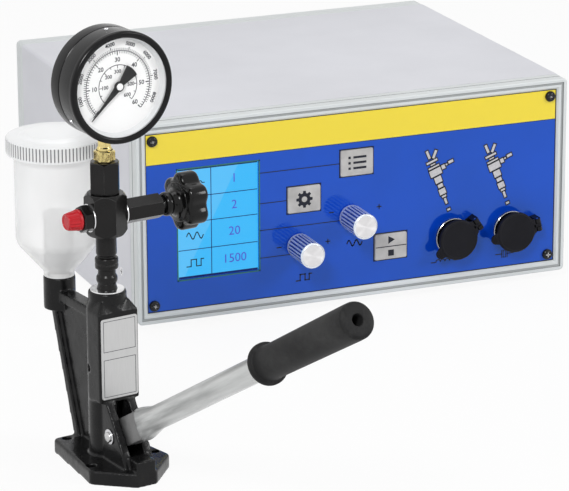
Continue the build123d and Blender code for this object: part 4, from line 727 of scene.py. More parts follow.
def shapedBy(bm, name, *modifiers):
    # mesh after modifiers, each given as its kind and its settings
    worker = bpy.data.objects.new(name + ".work", meshOf(bm, name))
    scene.collection.objects.link(worker)
    for kind, settings in modifiers:
        modifier = worker.modifiers.new(kind, kind)
        for key, value in settings.items():
            setattr(modifier, key, value)
    shaped = bpy.data.meshes.new_from_object(worker.evaluated_get(bpy.context.evaluated_depsgraph_get()))
    bpy.data.objects.remove(worker)
    return shaped


def carved(bm, cutter):
    # bm less the cutter's shape
    tool = bpy.data.objects.new("cutter", meshOf(cutter, "cutter"))
    scene.collection.objects.link(tool)
    left = shapedBy(bm, "carved", ("BOOLEAN", {"operation": "DIFFERENCE", "object": tool, "solver": "EXACT"}))
    data = tool.data
    bpy.data.objects.remove(tool)
    bpy.data.meshes.remove(data)
    return shapeOf(left)


def bored(bm, radius, depth, segments=96):
    # shape with a round hole along Z
    cut = bmesh.new()
    bmesh.ops.create_cone(cut, cap_ends=True, segments=segments, radius1=radius, radius2=radius, depth=depth)
    return carved(bm, cut)


def makeCasting(values):
    bm = bmesh.new()
    bm.from_mesh(frame["nodes"]["pump_body"].data)
    bmesh.ops.remove_doubles(bm, verts=bm.verts, dist=1e-6)
    remesh = {"mode": "VOXEL", "voxel_size": values["voxel"] * mm}
    smooth = {"factor": values["strength"], "iterations": values["smoothing"]}
    data = shapedBy(bm, "casting", ("REMESH", remesh), ("SMOOTH", smooth))
    addObject("casting", data, "root", "castEnamel", ("pump_body",), 180)


makeCasting(castingValues)

# label plate: bare metal with a printed border round two fields
labelValues = {
    "width": 31.0, "height": 63.5, "middle": 91.0, "front": 16.5, "thickness": 0.8, "inset": 1.8, "line": 0.4,
    "split": 6.0, "upperShare": 0.45, "corner": 2.0, "edge": 0.15, "ink": 0.04,
}


def borderLines(width, height, line, depth):
    # four thin bars round a field
    bars = []
    for side in (-1, 1):
        bars.append((slab(line, height, 0, depth), Matrix.Translation((side * (width - line) / 2, 0, 0))))
        bars.append((slab(width, line, 0, depth), Matrix.Translation((0, side * (height - line) / 2, 0))))
    return bars


def makeLabel(values):
    face = values["front"] + values["thickness"]
    plate = slab(values["width"], values["height"], values["front"], face)
    upright = [edge for edge in plate.edges if abs(edge.verts[0].co.z - edge.verts[1].co.z) > 0.1]
    bmesh.ops.bevel(
        plate, geom=upright, offset=values["corner"], segments=4, profile=0.5, affect="EDGES", material=-1,
    )
    soften(plate, values["edge"], 1, 60)
    piece = merged((plate, Matrix.Translation((0, values["middle"], 0))))
    addPiece("labelPlate", piece, labelPlace, "root", "labelMetal", ("label_plate",))
    inner = values["width"] - 2 * values["inset"]
    fields = values["height"] - 2 * values["inset"] - values["split"]
    upper = fields * values["upperShare"]
    lower = fields - upper
    top = values["height"] / 2 - values["inset"]
    lines = []
    for height, centre in ((upper, top - upper / 2), (lower, -top + lower / 2)):
        shift = Matrix.Translation((0, values["middle"] + centre, face))
        border = borderLines(inner, height, values["line"], values["ink"])
        lines += [(bm, shift @ place) for bm, place in border]
    addPiece("labelBorder", merged(*lines), labelPlace, "root", "inkBlack")


makeLabel(labelValues)

# delivery holder and union nut, on the column's axis
deliveryValues = {"holder": 7.7, "waist": 6.9, "bead": 8.0, "nut": 8.8, "thread": 6.7}


def makeDelivery(values):
    holder, waist, bead, thread = values["holder"], values["waist"], values["bead"], values["thread"]
    stem = turned(
        [(0, 139), (holder, 139), (holder, 141.6), (waist, 143.4), (waist, 145.2), (bead, 147.2),
         (bead, 150.4), (thread, 152.2), (thread, 157), (0, 157)],
        softness={2: 0.8, 3: 1.4, 4: 1.4, 5: 1.0, 6: 1.0, 7: 0.6},
    )
    addPiece("deliveryStem", stem, column, "root", "blackSteel", ("delivery_holder",))
    nut = values["nut"]
    shell = turned(
        [(5.6, 156.5), (nut, 156.5), (nut, 160.2), (nut - 0.4, 160.6), (nut - 0.4, 161.2), (nut, 161.6),
         (nut, 165.8), (5.6, 165.8)],
        softness={1: 1.4, 6: 1.6},
    )
    addPiece("unionNut", shell, column, "root", "blackSteel", ("union_nut",))


makeDelivery(deliveryValues)

# valve block with its riser, bonnet, adapter, outlet and gauge stem: hexagonal bars with turned ends
valveValues = {
    "block": {"flats": 28.0, "bottom": 183.5, "top": 215.5, "angle": 0.0, "chamfer": 2.4},
    "adapter": {"flats": 21.0, "bottom": 215.5, "top": 240.0, "angle": 28.0, "chamfer": 1.4},
    "bonnet": {"flats": 17.0, "bottom": 14.8, "top": 46.0, "angle": 30.0, "chamfer": 1.2},
    "outlet": {"flats": 18.5, "bottom": 14.8, "top": 22.2, "angle": 30.0, "chamfer": 1.2},
    "stem": {"flats": 14.0, "bottom": 240.0, "top": 248.5, "angle": -2.0, "chamfer": 3.0},
    "riser": [(0, 164), (7.0, 164), (7.0, 167), (7.8, 168.4), (7.8, 184), (0, 184)],
    "neck": [(0, 14), (4.6, 14), (4.6, 15), (0, 15)],
    "nipple": [(2, 22), (5, 22), (5, 29.9), (4.4, 30.7), (2, 30.7), (2, 22)],
    "collar": [(0, 247), (5.6, 247), (5.6, 250.2), (4.8, 251.2), (4.8, 268), (0, 268)],
}


def makeValveParts(values):
    riser = turned(values["riser"], softness={2: 0.4, 3: 0.5})
    nipple = turned(values["nipple"], 48)
    collar = turned(values["collar"], softness={2: 0.6, 3: 0.6})
    necks = [turned(values["neck"], 32) for _ in range(2)]
    for name, bar, place, node, ends in (
        ("valveBlock", "block", column, "valve_block", [riser]),
        ("gaugeAdapter", "adapter", column, "gauge_adapter", []),
        ("valveBonnet", "bonnet", valveRight, "valve_bonnet", [necks[0]]),
        ("outletNipple", "outlet", valveLeft, "outlet_fitting", [nipple, necks[1]]),
    ):
        piece = merged(hexBar(**values[bar]), *ends)
        addPiece(name, piece, place, "root", "blackSteel", (node,), 30)
    addParts("gaugeStem", [hexBar(**values["stem"]), collar], column, "stemBrass")


makeValveParts(valveValues)
print("pump: column parts")

# valve knob: lobed hand wheel, dished at its back, on a flared hub
knobValues = {
    "lobes": 6, "radius": 22.45, "valley": 3.9, "broad": 1.5, "start": 61.5, "end": 78.0, "edge": 3.4,
    "hub": 9.2, "dish": 8.0, "dishFloor": 6.4, "dishDepth": 2.0, "plug": 5.2,
}


def lobedWheel(values, points=180):
    def reach(turn):
        hollow = (sin(turn * values["lobes"] / 2) ** 2) ** values["broad"]
        return values["radius"] - values["valley"] * hollow

    return soften(wavyBar(reach, points, values["start"], values["end"]), values["edge"], 6, 60)


def makeKnob(values):
    hub, start = values["hub"], values["start"]
    neck = turned(
        [(4.2, 50.4), (4.2, 49), (hub - 1.2, 49), (hub, 50.4), (hub, 53.4), (hub - 0.8, 54.4),
         (hub - 0.8, 55.2), (hub + 0.2, 56.6), (hub + 0.6, 58.6), (11.4, 60.2), (15.2, 60.9),
         (15.6, start + 0.3), (0, start + 0.8)],
        softness={2: 0.6, 3: 1.0, 4: 0.5, 5: 0.5, 8: 1.2, 9: 1.4, 10: 0.4}, cuts=4,
    )
    end, dish, plug = values["end"], values["dish"], values["plug"]
    low = end - values["dishDepth"]
    profile = [(0, end + 1), (dish, end + 1), (dish, end - 1.2), (values["dishFloor"], low), (0, low)]
    wheel = carved(lobedWheel(values), turned(profile, 64))
    button = turned(
        [(0, end - 2.2), (plug, end - 2.2), (plug, end - 0.9), (plug - 0.6, end - 0.4), (0, end - 0.2)],
        48, {2: 0.3},
    )
    piece = merged(wheel, neck, button)
    addPiece("valveKnob", piece, valveRight, "valve", "knobBlack", ("valve_knob",), 40)


makeKnob(knobValues)

# outlet cap: push-on cap with ribs and a raised rim round its end
outletCapValues = {"root": 8.1, "end": 6.5, "start": 22.5, "top": 33.9, "ribs": 14, "rib": 0.75}


def makeOutletCap(values):
    start, top, end = values["start"], values["top"], values["end"]
    body = fluted(values["root"] - 0.25, values["rib"], values["ribs"], start + 2.0, top - 1.0, 0.9, 8, 0.84)
    skirt = turned(
        [(5.2, start), (values["root"], start), (values["root"], start + 2.4), (5.2, start + 2.4)],
        softness={1: 0.4, 2: 0.5},
    )
    tip = turned(
        [(0, top - 1.6), (end - 0.3, top - 1.6), (end - 0.3, top - 0.4), (end - 0.7, top), (end - 1.6, top),
         (end - 1.9, top - 0.5), (0, top - 0.5)], 64, {2: 0.25, 3: 0.25, 4: 0.2},
    )
    piece = merged(body, skirt, tip)
    addPiece("outletCap", piece, valveLeft, "outlet_cap", "capRed", ("outlet_cap",), 30)


makeOutletCap(outletCapValues)
print("pump: valve knob and cap")

# pressure gauge
gaugeValues = {
    "case": 41.4, "back": -6.0, "seam": 8.0, "front": 29.8, "ring": 42.3, "inner": 37.2, "flange": 24.8,
    "rimEnd": 21.6, "dial": 22.4, "lens": 28.5, "dialRim": 34.9, "screwFront": 13.0,
    "screwAngles": (95, 215, 335), "screw": (1.7, 1.1, 0.5),
}


def makeGaugeShell(values):
    case, back, seam, lens = values["case"], values["back"], values["seam"], values["lens"]
    shell = turned(
        [(0, back + 0.8), (30, back + 0.8), (31.5, back), (case, back), (case, seam - 0.6),
         (case - 0.7, seam), (case - 0.7, values["rimEnd"]), (38.6, values["rimEnd"]), (38.6, -3), (0, -3)],
        128, {1: 0.6, 2: 0.6, 3: 3.2, 4: 0.4}, 5,
    )
    addPiece("gaugeShell", shell, dialPlace, "root", "gaugeBlack", ("gauge_case",))
    ring, front, flange = values["ring"], values["front"], values["flange"]
    bezel = closedTurned(
        [(case - 0.75, seam + 0.1), (case, seam + 0.7), (case, flange - 0.5), (case + 0.35, flange),
         (ring, flange + 0.2), (ring, front - 1.3), (ring - 1.3, front), (values["inner"] + 1.3, front - 0.3),
         (values["inner"] + 0.5, front - 1.0), (values["inner"], front - 1.2), (values["inner"], lens + 0.1),
         (case - 0.75, lens + 0.1)],
        steps=128, softness={1: 0.3, 4: 0.4, 5: 0.8, 6: 0.5, 7: 0.4, 9: 0.1},
    )
    addPiece("gaugeBezel", bezel, dialPlace, "root", "gaugeBlack", ("gauge_ring",))
    dial, rim = values["dial"], values["dialRim"]
    # grey ring over the dial's own wall: painted shade between the dial and the glass
    spacer = closedTurned(
        [(rim, dial), (39.6, dial), (39.6, 26.6), (37.6, 26.6), (37.2, 26.1), (rim + 0.5, dial + 0.5)],
        steps=128, softness={3: 0.2, 4: 0.3},
    )
    addPiece("dialSpacerPaintedShade", spacer, dialPlace, "root", "dialRim")


def slottedHead(radius, height, slot):
    # small screw head standing on z 0, with a straight slot
    profile = [(0, 0), (radius, 0), (radius, height * 0.45), (radius * 0.55, height), (0, height)]
    head = turned(profile, 32, {2: height * 0.3, 3: height * 0.4})
    return carved(head, slab(radius * 2.2, slot, height * 0.5, height * 1.5))


def makeGaugeScrews(values):
    heads = []
    shift = Matrix.Translation((0, 0, values["screwFront"]))
    for angle in values["screwAngles"]:
        turn = Matrix.Rotation(radians(angle), 4, "Z") @ Matrix.Rotation(radians(90), 4, "Y")
        place = shift @ turn @ Matrix.Translation((0, 0, values["case"] - 0.05))
        heads.append((slottedHead(*values["screw"]), place))
    piece = merged(*heads)
    addPiece("gaugeScrewHeads", piece, dialPlace, "root", "screwBright", ("gauge_screws",))


makeGaugeShell(gaugeValues)
makeGaugeScrews(gaugeValues)

# dial print: three scales with plain numbers
dialValues = {
    "zero": 225.0, "degreesPerTen": 45.0, "mainTick": (23.3, 26.2), "minorTick": (24.5, 26.2),
    "outerZero": 225.0, "degreesPerThousand": 31.03, "outerTick": (26.9, 29.8), "outerMinor": (26.9, 28.6),
    "arc": 15.9, "numbers": 19.8, "innerNumbers": 10.9, "outerNumbers": 31.9,
    "numberSize": 4.6, "innerSize": 3.9, "outerSize": 4.0, "weight": 0.1, "depth": 0.03,
    "lines": {"main": 0.8, "minor": 0.5, "outer": 0.6, "outerMinor": 0.42, "arc": 0.55},
}


def words(text, size, place, turn=0.0, depth=0.03, weight=0.0):
    # flat characters as a mesh, centred on place
    curve = bpy.data.curves.new("words", "FONT")
    curve.body, curve.size, curve.extrude, curve.offset = text, size, depth / 2, weight
    curve.align_x, curve.align_y = "CENTER", "CENTER"
    curve.resolution_u = 3
    worker = bpy.data.objects.new("words", curve)
    scene.collection.objects.link(worker)
    data = bpy.data.meshes.new_from_object(worker.evaluated_get(bpy.context.evaluated_depsgraph_get()))
    bpy.data.objects.remove(worker)
    bpy.data.curves.remove(curve)
    bm = shapeOf(data)
    bmesh.ops.remove_doubles(bm, verts=bm.verts, dist=1e-5)
    middle = Matrix.Translation((*place, depth / 2))
    return bm, middle @ Matrix.Rotation(turn, 4, "Z")


def bar(start, end, width, depth=0.03):
    # thin straight line between two flat points
    first, second = Vector(start), Vector(end)
    along = second - first
    turn = Matrix.Rotation(along.angle_signed(Vector((1, 0))) if along.length else 0, 4, "Z")
    middle = Matrix.Translation((*((first + second) / 2), 0))
    return slab(along.length, width, 0, depth), middle @ turn


def arcBand(radius, width, start, sweep, depth=0.03, steps=64):
    # flat band along an arc from start through sweep, in radians
    bm = bmesh.new()
    low, high = radius - width / 2, radius + width / 2
    corners = ((low, 0), (high, 0), (high, depth), (low, depth))
    face = bm.faces.new([bm.verts.new((reach, 0, level)) for reach, level in corners])
    bmesh.ops.rotate(bm, verts=bm.verts, cent=(0, 0, 0), matrix=Matrix.Rotation(start, 3, "Z"))
    bmesh.ops.spin(
        bm, geom=[face] + bm.edges[:] + bm.verts[:], cent=(0, 0, 0), axis=(0, 0, 1), angle=sweep, steps=steps,
        use_merge=False, use_duplicate=False,
    )
    bmesh.ops.recalc_face_normals(bm, faces=bm.faces)
    return bm, Matrix()


def polar(radius, angle):
    return radius * cos(radians(angle)), radius * sin(radians(angle))


def makeDialPrint(values):
    inner, outer = [], []
    depth, weight, lines = values["depth"], values["weight"], values["lines"]
    for step in range(61):
        angle = values["zero"] - step * values["degreesPerTen"] / 10
        name = "main" if step % 10 == 0 else "minor"
        near, far = values[name + "Tick"]
        inner.append(bar(polar(near, angle), polar(far, angle), lines[name], depth))
    for step in range(84):
        angle = values["outerZero"] - step * values["degreesPerThousand"] / 10
        near, far = values["outerTick"] if step % 10 == 0 else values["outerMinor"]
        width = lines["outer"] if step % 10 == 0 else lines["outerMinor"]
        outer.append(bar(polar(near, angle), polar(far, angle), width, depth))
    for step in range(1, 7):
        angle = values["zero"] - step * values["degreesPerTen"]
        spot, innerSpot = polar(values["numbers"], angle), polar(values["innerNumbers"], angle)
        inner.append(words(str(step * 10), values["numberSize"], spot, 0, depth, weight))
        inner.append(words(str(step * 100), values["innerSize"], innerSpot, 0, depth, weight * 0.8))
        for half in (0, 0.5):
            turn = angle + half * values["degreesPerTen"]
            reach = values["arc"] - (2.6 if half == 0 else 1.6)
            inner.append(bar(polar(reach, turn), polar(values["arc"], turn), lines["minor"], depth))
    for step in range(1, 9):
        angle = values["outerZero"] - step * values["degreesPerThousand"]
        spot = polar(values["outerNumbers"], angle)
        outer.append(words(str(step * 1000), values["outerSize"], spot, radians(angle - 90), depth, weight))
    sweep = radians(-6 * values["degreesPerTen"])
    for radius in (values["arc"], values["mainTick"][1] + 0.35):
        inner.append(arcBand(radius, lines["arc"], radians(values["zero"]), sweep, depth))
    face = dialPlace @ Matrix.Translation((0, 0, gaugeValues["dial"]))
    addParts("dialScale", inner, face, "inkBlack")
    addParts("dialOuterScale", outer, face, "inkBlack")


makeDialPrint(dialValues)

# needle: tapered pointer with a fan at its tail, black ring and white cap
needleValues = {
    "angle": 225.0, "level": 23.9, "thickness": 0.7, "length": 33.0, "tip": 0.3, "fan": 16.6, "fanHalf": 20.0,
    "blade": [(16.0, 1.3), (3.0, 2.7), (-2.0, 2.2)], "hub": 3.9, "cap": 2.6,
}


def mirrored(points):
    return [(x, -y) for x, y in reversed(points)]


def makeNeedle(values):
    length, tip = values["length"], values["tip"]
    outline = [(length, -tip), (length, tip)] + values["blade"]
    for share in (1, 0.6, 0.2, -0.2, -0.6, -1):
        outline.append(polar(values["fan"], 180 - values["fanHalf"] * share))
    blade = extruded(outline + mirrored(values["blade"]), values["thickness"], 0.15, 1)
    level = values["level"]
    turn = Matrix.Translation((0, 0, level)) @ Matrix.Rotation(radians(values["angle"]), 4, "Z")
    hub, radius = values["hub"], values["cap"]
    ring = turned([(0, level), (hub, level), (hub, level + 1.3), (0, level + 1.3)], 48, {2: 0.3})
    arbor = turned([(0, 4.7), (1.2, 4.7), (1.2, level + 0.1), (0, level + 0.1)], 24)
    piece = merged((blade, turn), ring, arbor)
    addPiece("needle", piece, dialPlace, "gauge_needle", "needleGrey", ("gauge_needle",), 30)
    low = level + 1.2
    cap = turned([(0, low), (radius, low), (radius, level + 2.3), (0, level + 2.4)], 48, {2: 0.5})
    addPiece("needleCap", cap, dialPlace, "gauge_needle", "dialWhite")


makeNeedle(needleValues)
print("gauge: shell, dial and needle")

# reservoir with its lid and strainer
vesselValues = {
    "wall": 1.8, "foot": 9.0, "boss": 11.9, "radius": 32.5, "rim": 35.6, "bottom": 118, "neck": 131, "cone": 135,
    "shoulder": 159, "flare": 225, "lip": 229, "mouth": 240, "lid": 38.4, "teeth": 84, "toothDepth": 0.7,
    "strainer": 12.0, "ribs": 6, "rings": [(156.5, 158.2), (177.6, 181.0)],
}


def makeVessel(values):
    wall, foot, boss, radius, rim = [values[key] for key in ("wall", "foot", "boss", "radius", "rim")]
    bottom, neck, cone = values["bottom"], values["neck"], values["cone"]
    shoulder, flare, lip, mouth = values["shoulder"], values["flare"], values["lip"], values["mouth"]
    vessel = closedTurned(
        [(foot - wall, bottom), (foot, bottom), (foot, neck), (boss, neck), (boss, cone), (radius, shoulder),
         (radius, flare), (rim, lip), (rim, mouth), (rim - wall, mouth), (rim - wall, lip + wall),
         (radius - wall, flare + wall), (radius - wall, shoulder + wall), (boss - wall, cone + wall),
         (foot - wall, neck + wall)],
        softness={3: 0.5, 4: 1.2, 5: 4.0, 6: 2.0, 7: 1.0, 8: 0.4, 9: 0.4, 12: 3.0, 13: 1.0},
        steps=128, cuts=4,
    )
    addPiece("vessel", vessel, cup, "root", "vesselClear", ("reservoir",))
    lid = values["lid"]
    skirt = fluted(lid, values["toothDepth"], values["teeth"], 230.4, 241.2, 1.6)
    crown = closedTurned(
        [(lid - 2.2, 229.6), (lid - 0.2, 229.6), (lid - 0.2, 230.8), (lid - 0.9, 231.2), (lid - 0.9, 240.4),
         (lid - 0.5, 242.3), (27.5, 242.5), (24.0, 245.5), (0, 245.3), (0, 242.6), (23.0, 243.0),
         (26.5, 240.3), (lid - 2.2, 240.3)],
        steps=128, softness={5: 1.0, 6: 1.2, 7: 1.2, 10: 1.0, 11: 1.0},
    )
    # the teeth's grooves take the dark second finish: painted shade in the gaps
    ring = paintedBetween(bored(skirt, lid - 2.0, 400), lid - 1.0, lid - 0.33)
    finish = ["lidFrosted", "lidGroove"]
    piece = merged(crown, ring)
    addPiece("lidCrown", piece, cup, "reservoir_lid", finish, ("reservoir_lid",), 30)


def makeStrainer(values):
    radius = values["strainer"]
    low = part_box("reservoir_strainer")[0].z / mm
    parts = []
    for bottom, top in [(low, low + 2.4)] + values["rings"]:
        parts.append(closedTurned(
            [(radius - 1.5, bottom), (radius, bottom), (radius, top), (radius - 1.5, top)],
            steps=64, softness={1: 0.3, 2: 0.5},
        ))
    for rib in range(values["ribs"]):
        turn = Matrix.Rotation(rib * 2 * pi / values["ribs"], 4, "Z")
        parts.append((slab(1.4, 2.0, low + 1, 180, 0.2, 1), turn @ Matrix.Translation((radius - 0.75, 0, 0))))
    parts.append(turned(
        [(0, 179.4), (radius - 1, 179.4), (radius - 1, 181), (3.6, 181.3), (2.6, 182.6), (3.0, 184),
         (0, 184)],
        64, {3: 0.5, 4: 0.5, 5: 0.5},
    ))
    inner, outer = radius - 1.1, radius - 0.7
    parts.append(closedTurned([(inner, low + 1), (outer, low + 1), (outer, 179), (inner, 179)], steps=64))
    # its grey finish paints the shade inside the vessel onto the white plastic
    strainer = merged(*parts)
    replaced = ("reservoir_strainer",)
    addPiece("strainerFrame", strainer, cup, "root", "strainerWhite", replaced, 30)


makeVessel(vesselValues)
makeStrainer(vesselValues)
print("reservoir: vessel, lid and strainer")

# lever: flat tongue in the casting's slot, a tube pressed flat over it, and a rubber grip
leverValues = {
    "tongueHalf": 5.4, "tongueHeight": 11.0, "tongueEnd": 36.0, "hub": 9.4, "bore": 4.1, "tube": 9.3,
    "mouth": 33.0, "mouthHeight": 12.6, "mouthHalf": 6.5, "mouthPower": 3.4, "flareEnd": 60.0,
    "tubeEnd": 300.0,
    "gripStart": 234.0, "gripEnd": 366.0, "gripRoot": 12.6, "gripTip": 13.4, "flange": 15.6, "hole": 4.2,
}


def sectionRing(verts, level, halfX, halfY, power):
    # moves a ring of points to a rounded section: power 2 is an ellipse, above it a softened rectangle
    count = len(verts)
    for index, vert in enumerate(verts):
        turn = 2 * pi * index / count
        across, high = cos(turn), sin(turn)
        reach = (abs(across) ** power + abs(high) ** power) ** (-1 / power)
        vert.co = (halfX * across * reach, halfY * high * reach, level)


def lofted(sections, points=64):
    # closed solid through sections of (level, half width, half height, power)
    bm = bmesh.new()
    verts = bmesh.ops.create_circle(bm, cap_ends=True, segments=points, radius=1)["verts"]
    sectionRing(verts, *sections[0])
    edges = [edge for edge in bm.edges if len(edge.link_faces) == 1]
    for section in sections[1:]:
        edges, _, verts = nextRing(bm, edges, points)
        sectionRing(verts, *section)
    bmesh.ops.holes_fill(bm, edges=edges, sides=0)
    bmesh.ops.recalc_face_normals(bm, faces=bm.faces)
    return bm


def tongueShape(values):
    # side outline of the tongue: hub about the pin, widening to the tube's mouth
    hub, high, end = values["hub"], values["tongueHeight"], values["tongueEnd"]
    outline = [polar(hub, angle) for angle in range(100, 261, 10)]
    outline += [(12.0, -high), (end, -high), (end, high), (12.0, high)]
    plate = extruded(outline, 2 * values["tongueHalf"], 0.9, 3)
    bmesh.ops.translate(plate, verts=plate.verts, vec=(0, 0, -values["tongueHalf"]))
    return bored(plate, values["bore"], 60, 32)


def makeLever(values):
    # the outline lies along X, so it is turned to stand along the lever
    stand = Matrix(((0, 0, 1, 0), (0, 1, 0, 0), (1, 0, 0, 0), (0, 0, 0, 1)))
    tongue = tongueShape(values)
    tongue.transform(stand)
    bmesh.ops.recalc_face_normals(tongue, faces=tongue.faces)
    addPiece("leverTongue", tongue, leverPlace, "lever", "headSteel", ("lever_head",), 40)
    radius, mouth, flareEnd = values["tube"], values["mouth"], values["flareEnd"]
    halfX, halfY, power = values["mouthHalf"], values["mouthHeight"], values["mouthPower"]
    sections = [
        (mouth + rise, halfX - less, halfY - less, power) for rise, less in ((0, 0.7), (0.5, 0.15), (1.2, 0))
    ]
    flat = mouth + 1.2
    for step in range(1, 11):
        share = step / 10
        ease = share * share * (3 - 2 * share)
        level = flat + (flareEnd - mouth - 1.2) * share
        width, height = halfX + (radius - halfX) * ease, halfY + (radius - halfY) * ease
        sections.append((level, width, height, power + (2 - power) * ease))
    sections += [(values["tubeEnd"] * part / 10, radius, radius, 2) for part in range(3, 11)]
    tube = lofted(sections)
    addPiece("leverTube", tube, leverPlace, "lever", "tubeZinc", ("lever_tube",), 40)


def makeGrip(values):
    start, end, root, tip = values["gripStart"], values["gripEnd"], values["gripRoot"], values["gripTip"]
    flange, hole = values["flange"], values["hole"]
    grip = closedTurned(
        [(9.35, start + 0.3), (9.35, end - 22), (hole, end - 20), (hole, end), (tip - 0.2, end),
         (tip, end - 8), (root, start + 9), (root + 0.6, start + 4.2), (flange, start + 3.5),
         (flange, start), (10.2, start)],
        steps=96, softness={3: 0.8, 4: 2.6, 6: 3.0, 7: 1.2, 8: 0.9, 9: 0.9, 10: 0.4}, cuts=4,
    )
    addPiece("leverGrip", grip, leverPlace, "lever", "gripRubber", ("lever_grip",), 50)


makeLever(leverValues)
makeGrip(leverValues)

# lever pin with its two clips
pinValues = {
    "radius": 4.0, "end": 15.2, "groove": 12.6, "clip": 6.0, "clipThickness": 0.9, "clipPlace": 12.7,
    "clipTurn": -35, "opening": 6.4,
}


def makePin(values):
    radius, end, groove = values["radius"], values["end"], values["groove"]
    half = [(radius, groove), (radius - 0.7, groove + 0.1), (radius - 0.7, groove + 0.8),
            (radius, groove + 0.9), (radius, end), (0, end)]
    profile = [(across, -high) for across, high in reversed(half)] + half
    pin = turned(profile, 48, {1: 0.7, 10: 0.7})
    addPiece("leverPin", pin, pinPlace, "root", "turnedSteel", ("lever_pin",), 30)
    inner, outer, thickness = radius - 0.6, values["clip"], values["clipThickness"]
    clips = []
    for side in (-1, 1):
        clip = closedTurned(
            [(inner, 0), (outer, 0), (outer, thickness), (inner, thickness)],
            steps=48, softness={1: 0.2, 2: 0.2},
        )
        mouth = slab(values["opening"], 8, -1, 2)
        bmesh.ops.translate(mouth, verts=mouth.verts, vec=(0, -outer, 0))
        shift = side * values["clipPlace"] + (0 if side > 0 else -thickness)
        turn = Matrix.Rotation(radians(values["clipTurn"]), 4, "Z")
        clips.append((carved(clip, mouth), Matrix.Translation((0, 0, shift)) @ turn))
    addPiece("pinClips", merged(*clips), pinPlace, "root", "screwBright", ("pin_clips",), 30)


makePin(pinValues)
print("lever: tongue, tube, grip and pin")

# bezels: stepped frames with a channel round them and a lip that slopes to the panel
bezelValues = {
    # the cross values place and size the painted highlights in the screws' cross recesses
    "width": 400.0, "height": 175.0, "corner": 4.0, "screwInset": 15.4, "crossHighlightLevel": 2.9,
    "cross": (2.1, 0.86, 0.1),
    "profile": [
        (1.8, -20.2, 1), (1.8, -14.2, 1), (0.5, -14.2, 1), (0.0, -13.7, 0), (0.0, -7.0, 0), (0.4, -6.7, 1),
        (0.4, -6.2, 1), (0.0, -5.9, 0), (0.0, 1.9, 0), (0.3, 2.5, 0), (0.9, 2.8, 0), (3.0, 2.8, 0),
        (3.3, 2.5, 0), (3.3, 1.5, 1), (5.3, 1.5, 2), (5.3, 2.0, 1), (5.6, 2.3, 0), (7.5, 2.3, 0),
        (7.9, 2.0, 0), (9.2, 0.4, 0), (9.2, -3.1, 1), (21.4, -3.1, 1), (21.4, -6.0, 1), (4.0, -6.0, 1),
        (4.0, -20.2, 1),
    ],
}


def onPanel(spot, turn=0.0):
    return Matrix.Translation((*spot, 0)) @ Matrix.Rotation(radians(turn), 4, "Z")


def plusMark(reach, width, depth):
    return [bar((-reach, 0), (reach, 0), width, depth), bar((0, -reach), (0, reach), width, depth)]


def makeScrewCrossHighlights(values):
    # bright bars in the cross recesses of the screws at both ends of the case: a painted highlight of light
    # caught in the recesses
    width, height, inset = values["width"], values["height"], values["screwInset"]
    level = Matrix.Translation((0, 0, values["crossHighlightLevel"]))
    for name, place in (("front", panel), ("rear", rearPanel)):
        crossHighlights = []
        for x in (inset, width - inset):
            for y in (inset, height - inset):
                spot = onPanel((x, y), 20 + 2 * x + y)
                crossHighlights += [(bm, spot @ turn) for bm, turn in plusMark(*values["cross"])]
        addParts(name + "ScrewCrossHighlights", crossHighlights, place @ level, "screwBright")


def makeBezels(values):
    # the second and third finishes are painted shade: on the seams, step walls and back, and on the channel's
    # floor
    finish = ["bezelPaint", "seamShade", "channelPaint"]
    for name, place in (("front", panel), ("rear", rearPanel)):
        frameShape = sweptFrame(values["width"], values["height"], values["corner"], values["profile"])
        middle = place @ Matrix.Translation((values["width"] / 2, values["height"] / 2, 0))
        addPiece(name + "Bezel", frameShape, middle, "root", finish, (name + "_bezel",), 25)


makeBezels(bezelValues)
makeScrewCrossHighlights(bezelValues)

# control knobs: turned aluminium with fluted sides and a spun face; the flutes' grooves are painted dark blue, a
# painted reflection of the blue panel
controlValues = {
    "frequency": {"spot": (195.5, 72.8)}, "pulse_width": {"spot": (147.0, 53.0)},
    "radius": 11.2, "bottom": 1.0, "top": 34.0, "flutes": 22, "depth": 1.1, "collar": 2.2,
}


def makeControls(values):
    radius, bottom, top, collar = values["radius"], values["bottom"], values["top"], values["collar"]
    depth, finish = values["depth"], ["knobAluminium", "knobGroove"]
    for name in ("frequency", "pulse_width"):
        place = panel @ onPanel(values[name]["spot"])
        body = name + "_control"
        grip = fluted(radius, depth, values["flutes"], bottom + 1.6, top - collar, 1.0, 12)
        # the grooves take the second finish: a painted reflection of the blue panel
        paintedBetween(grip, radius - depth * 1.1, radius - depth * 0.42)
        skirt = turned(
            [(3.2, bottom), (radius - 0.9, bottom), (radius - 0.4, bottom + 0.5), (radius - 0.4, bottom + 2),
             (3.2, bottom + 2)], 64,
        )
        head = turned(
            [(0, top - collar - 0.5), (radius - 0.5, top - collar - 0.5), (radius, top - collar),
             (radius, top - 1.3), (radius - 1.0, top - 0.25), (radius - 1.5, top - 0.25),
             (radius - 1.6, top - 0.55), (0, top - 0.55)],
            softness={2: 0.2, 3: 0.25, 4: 0.2},
        )
        piece, node = merged(grip, skirt, head), (name + "_knob",)
        addPiece("knob" + titled(name), piece, place, body, finish, node, 28)
        rim = radius - 1.65
        face = turned([(0, top - 0.6), (rim, top - 0.6), (rim, top - 0.42), (0, top - 0.35)])
        addPiece("knobFace" + titled(name), face, place, body, "spunFace", (), 28)


makeControls(controlValues)

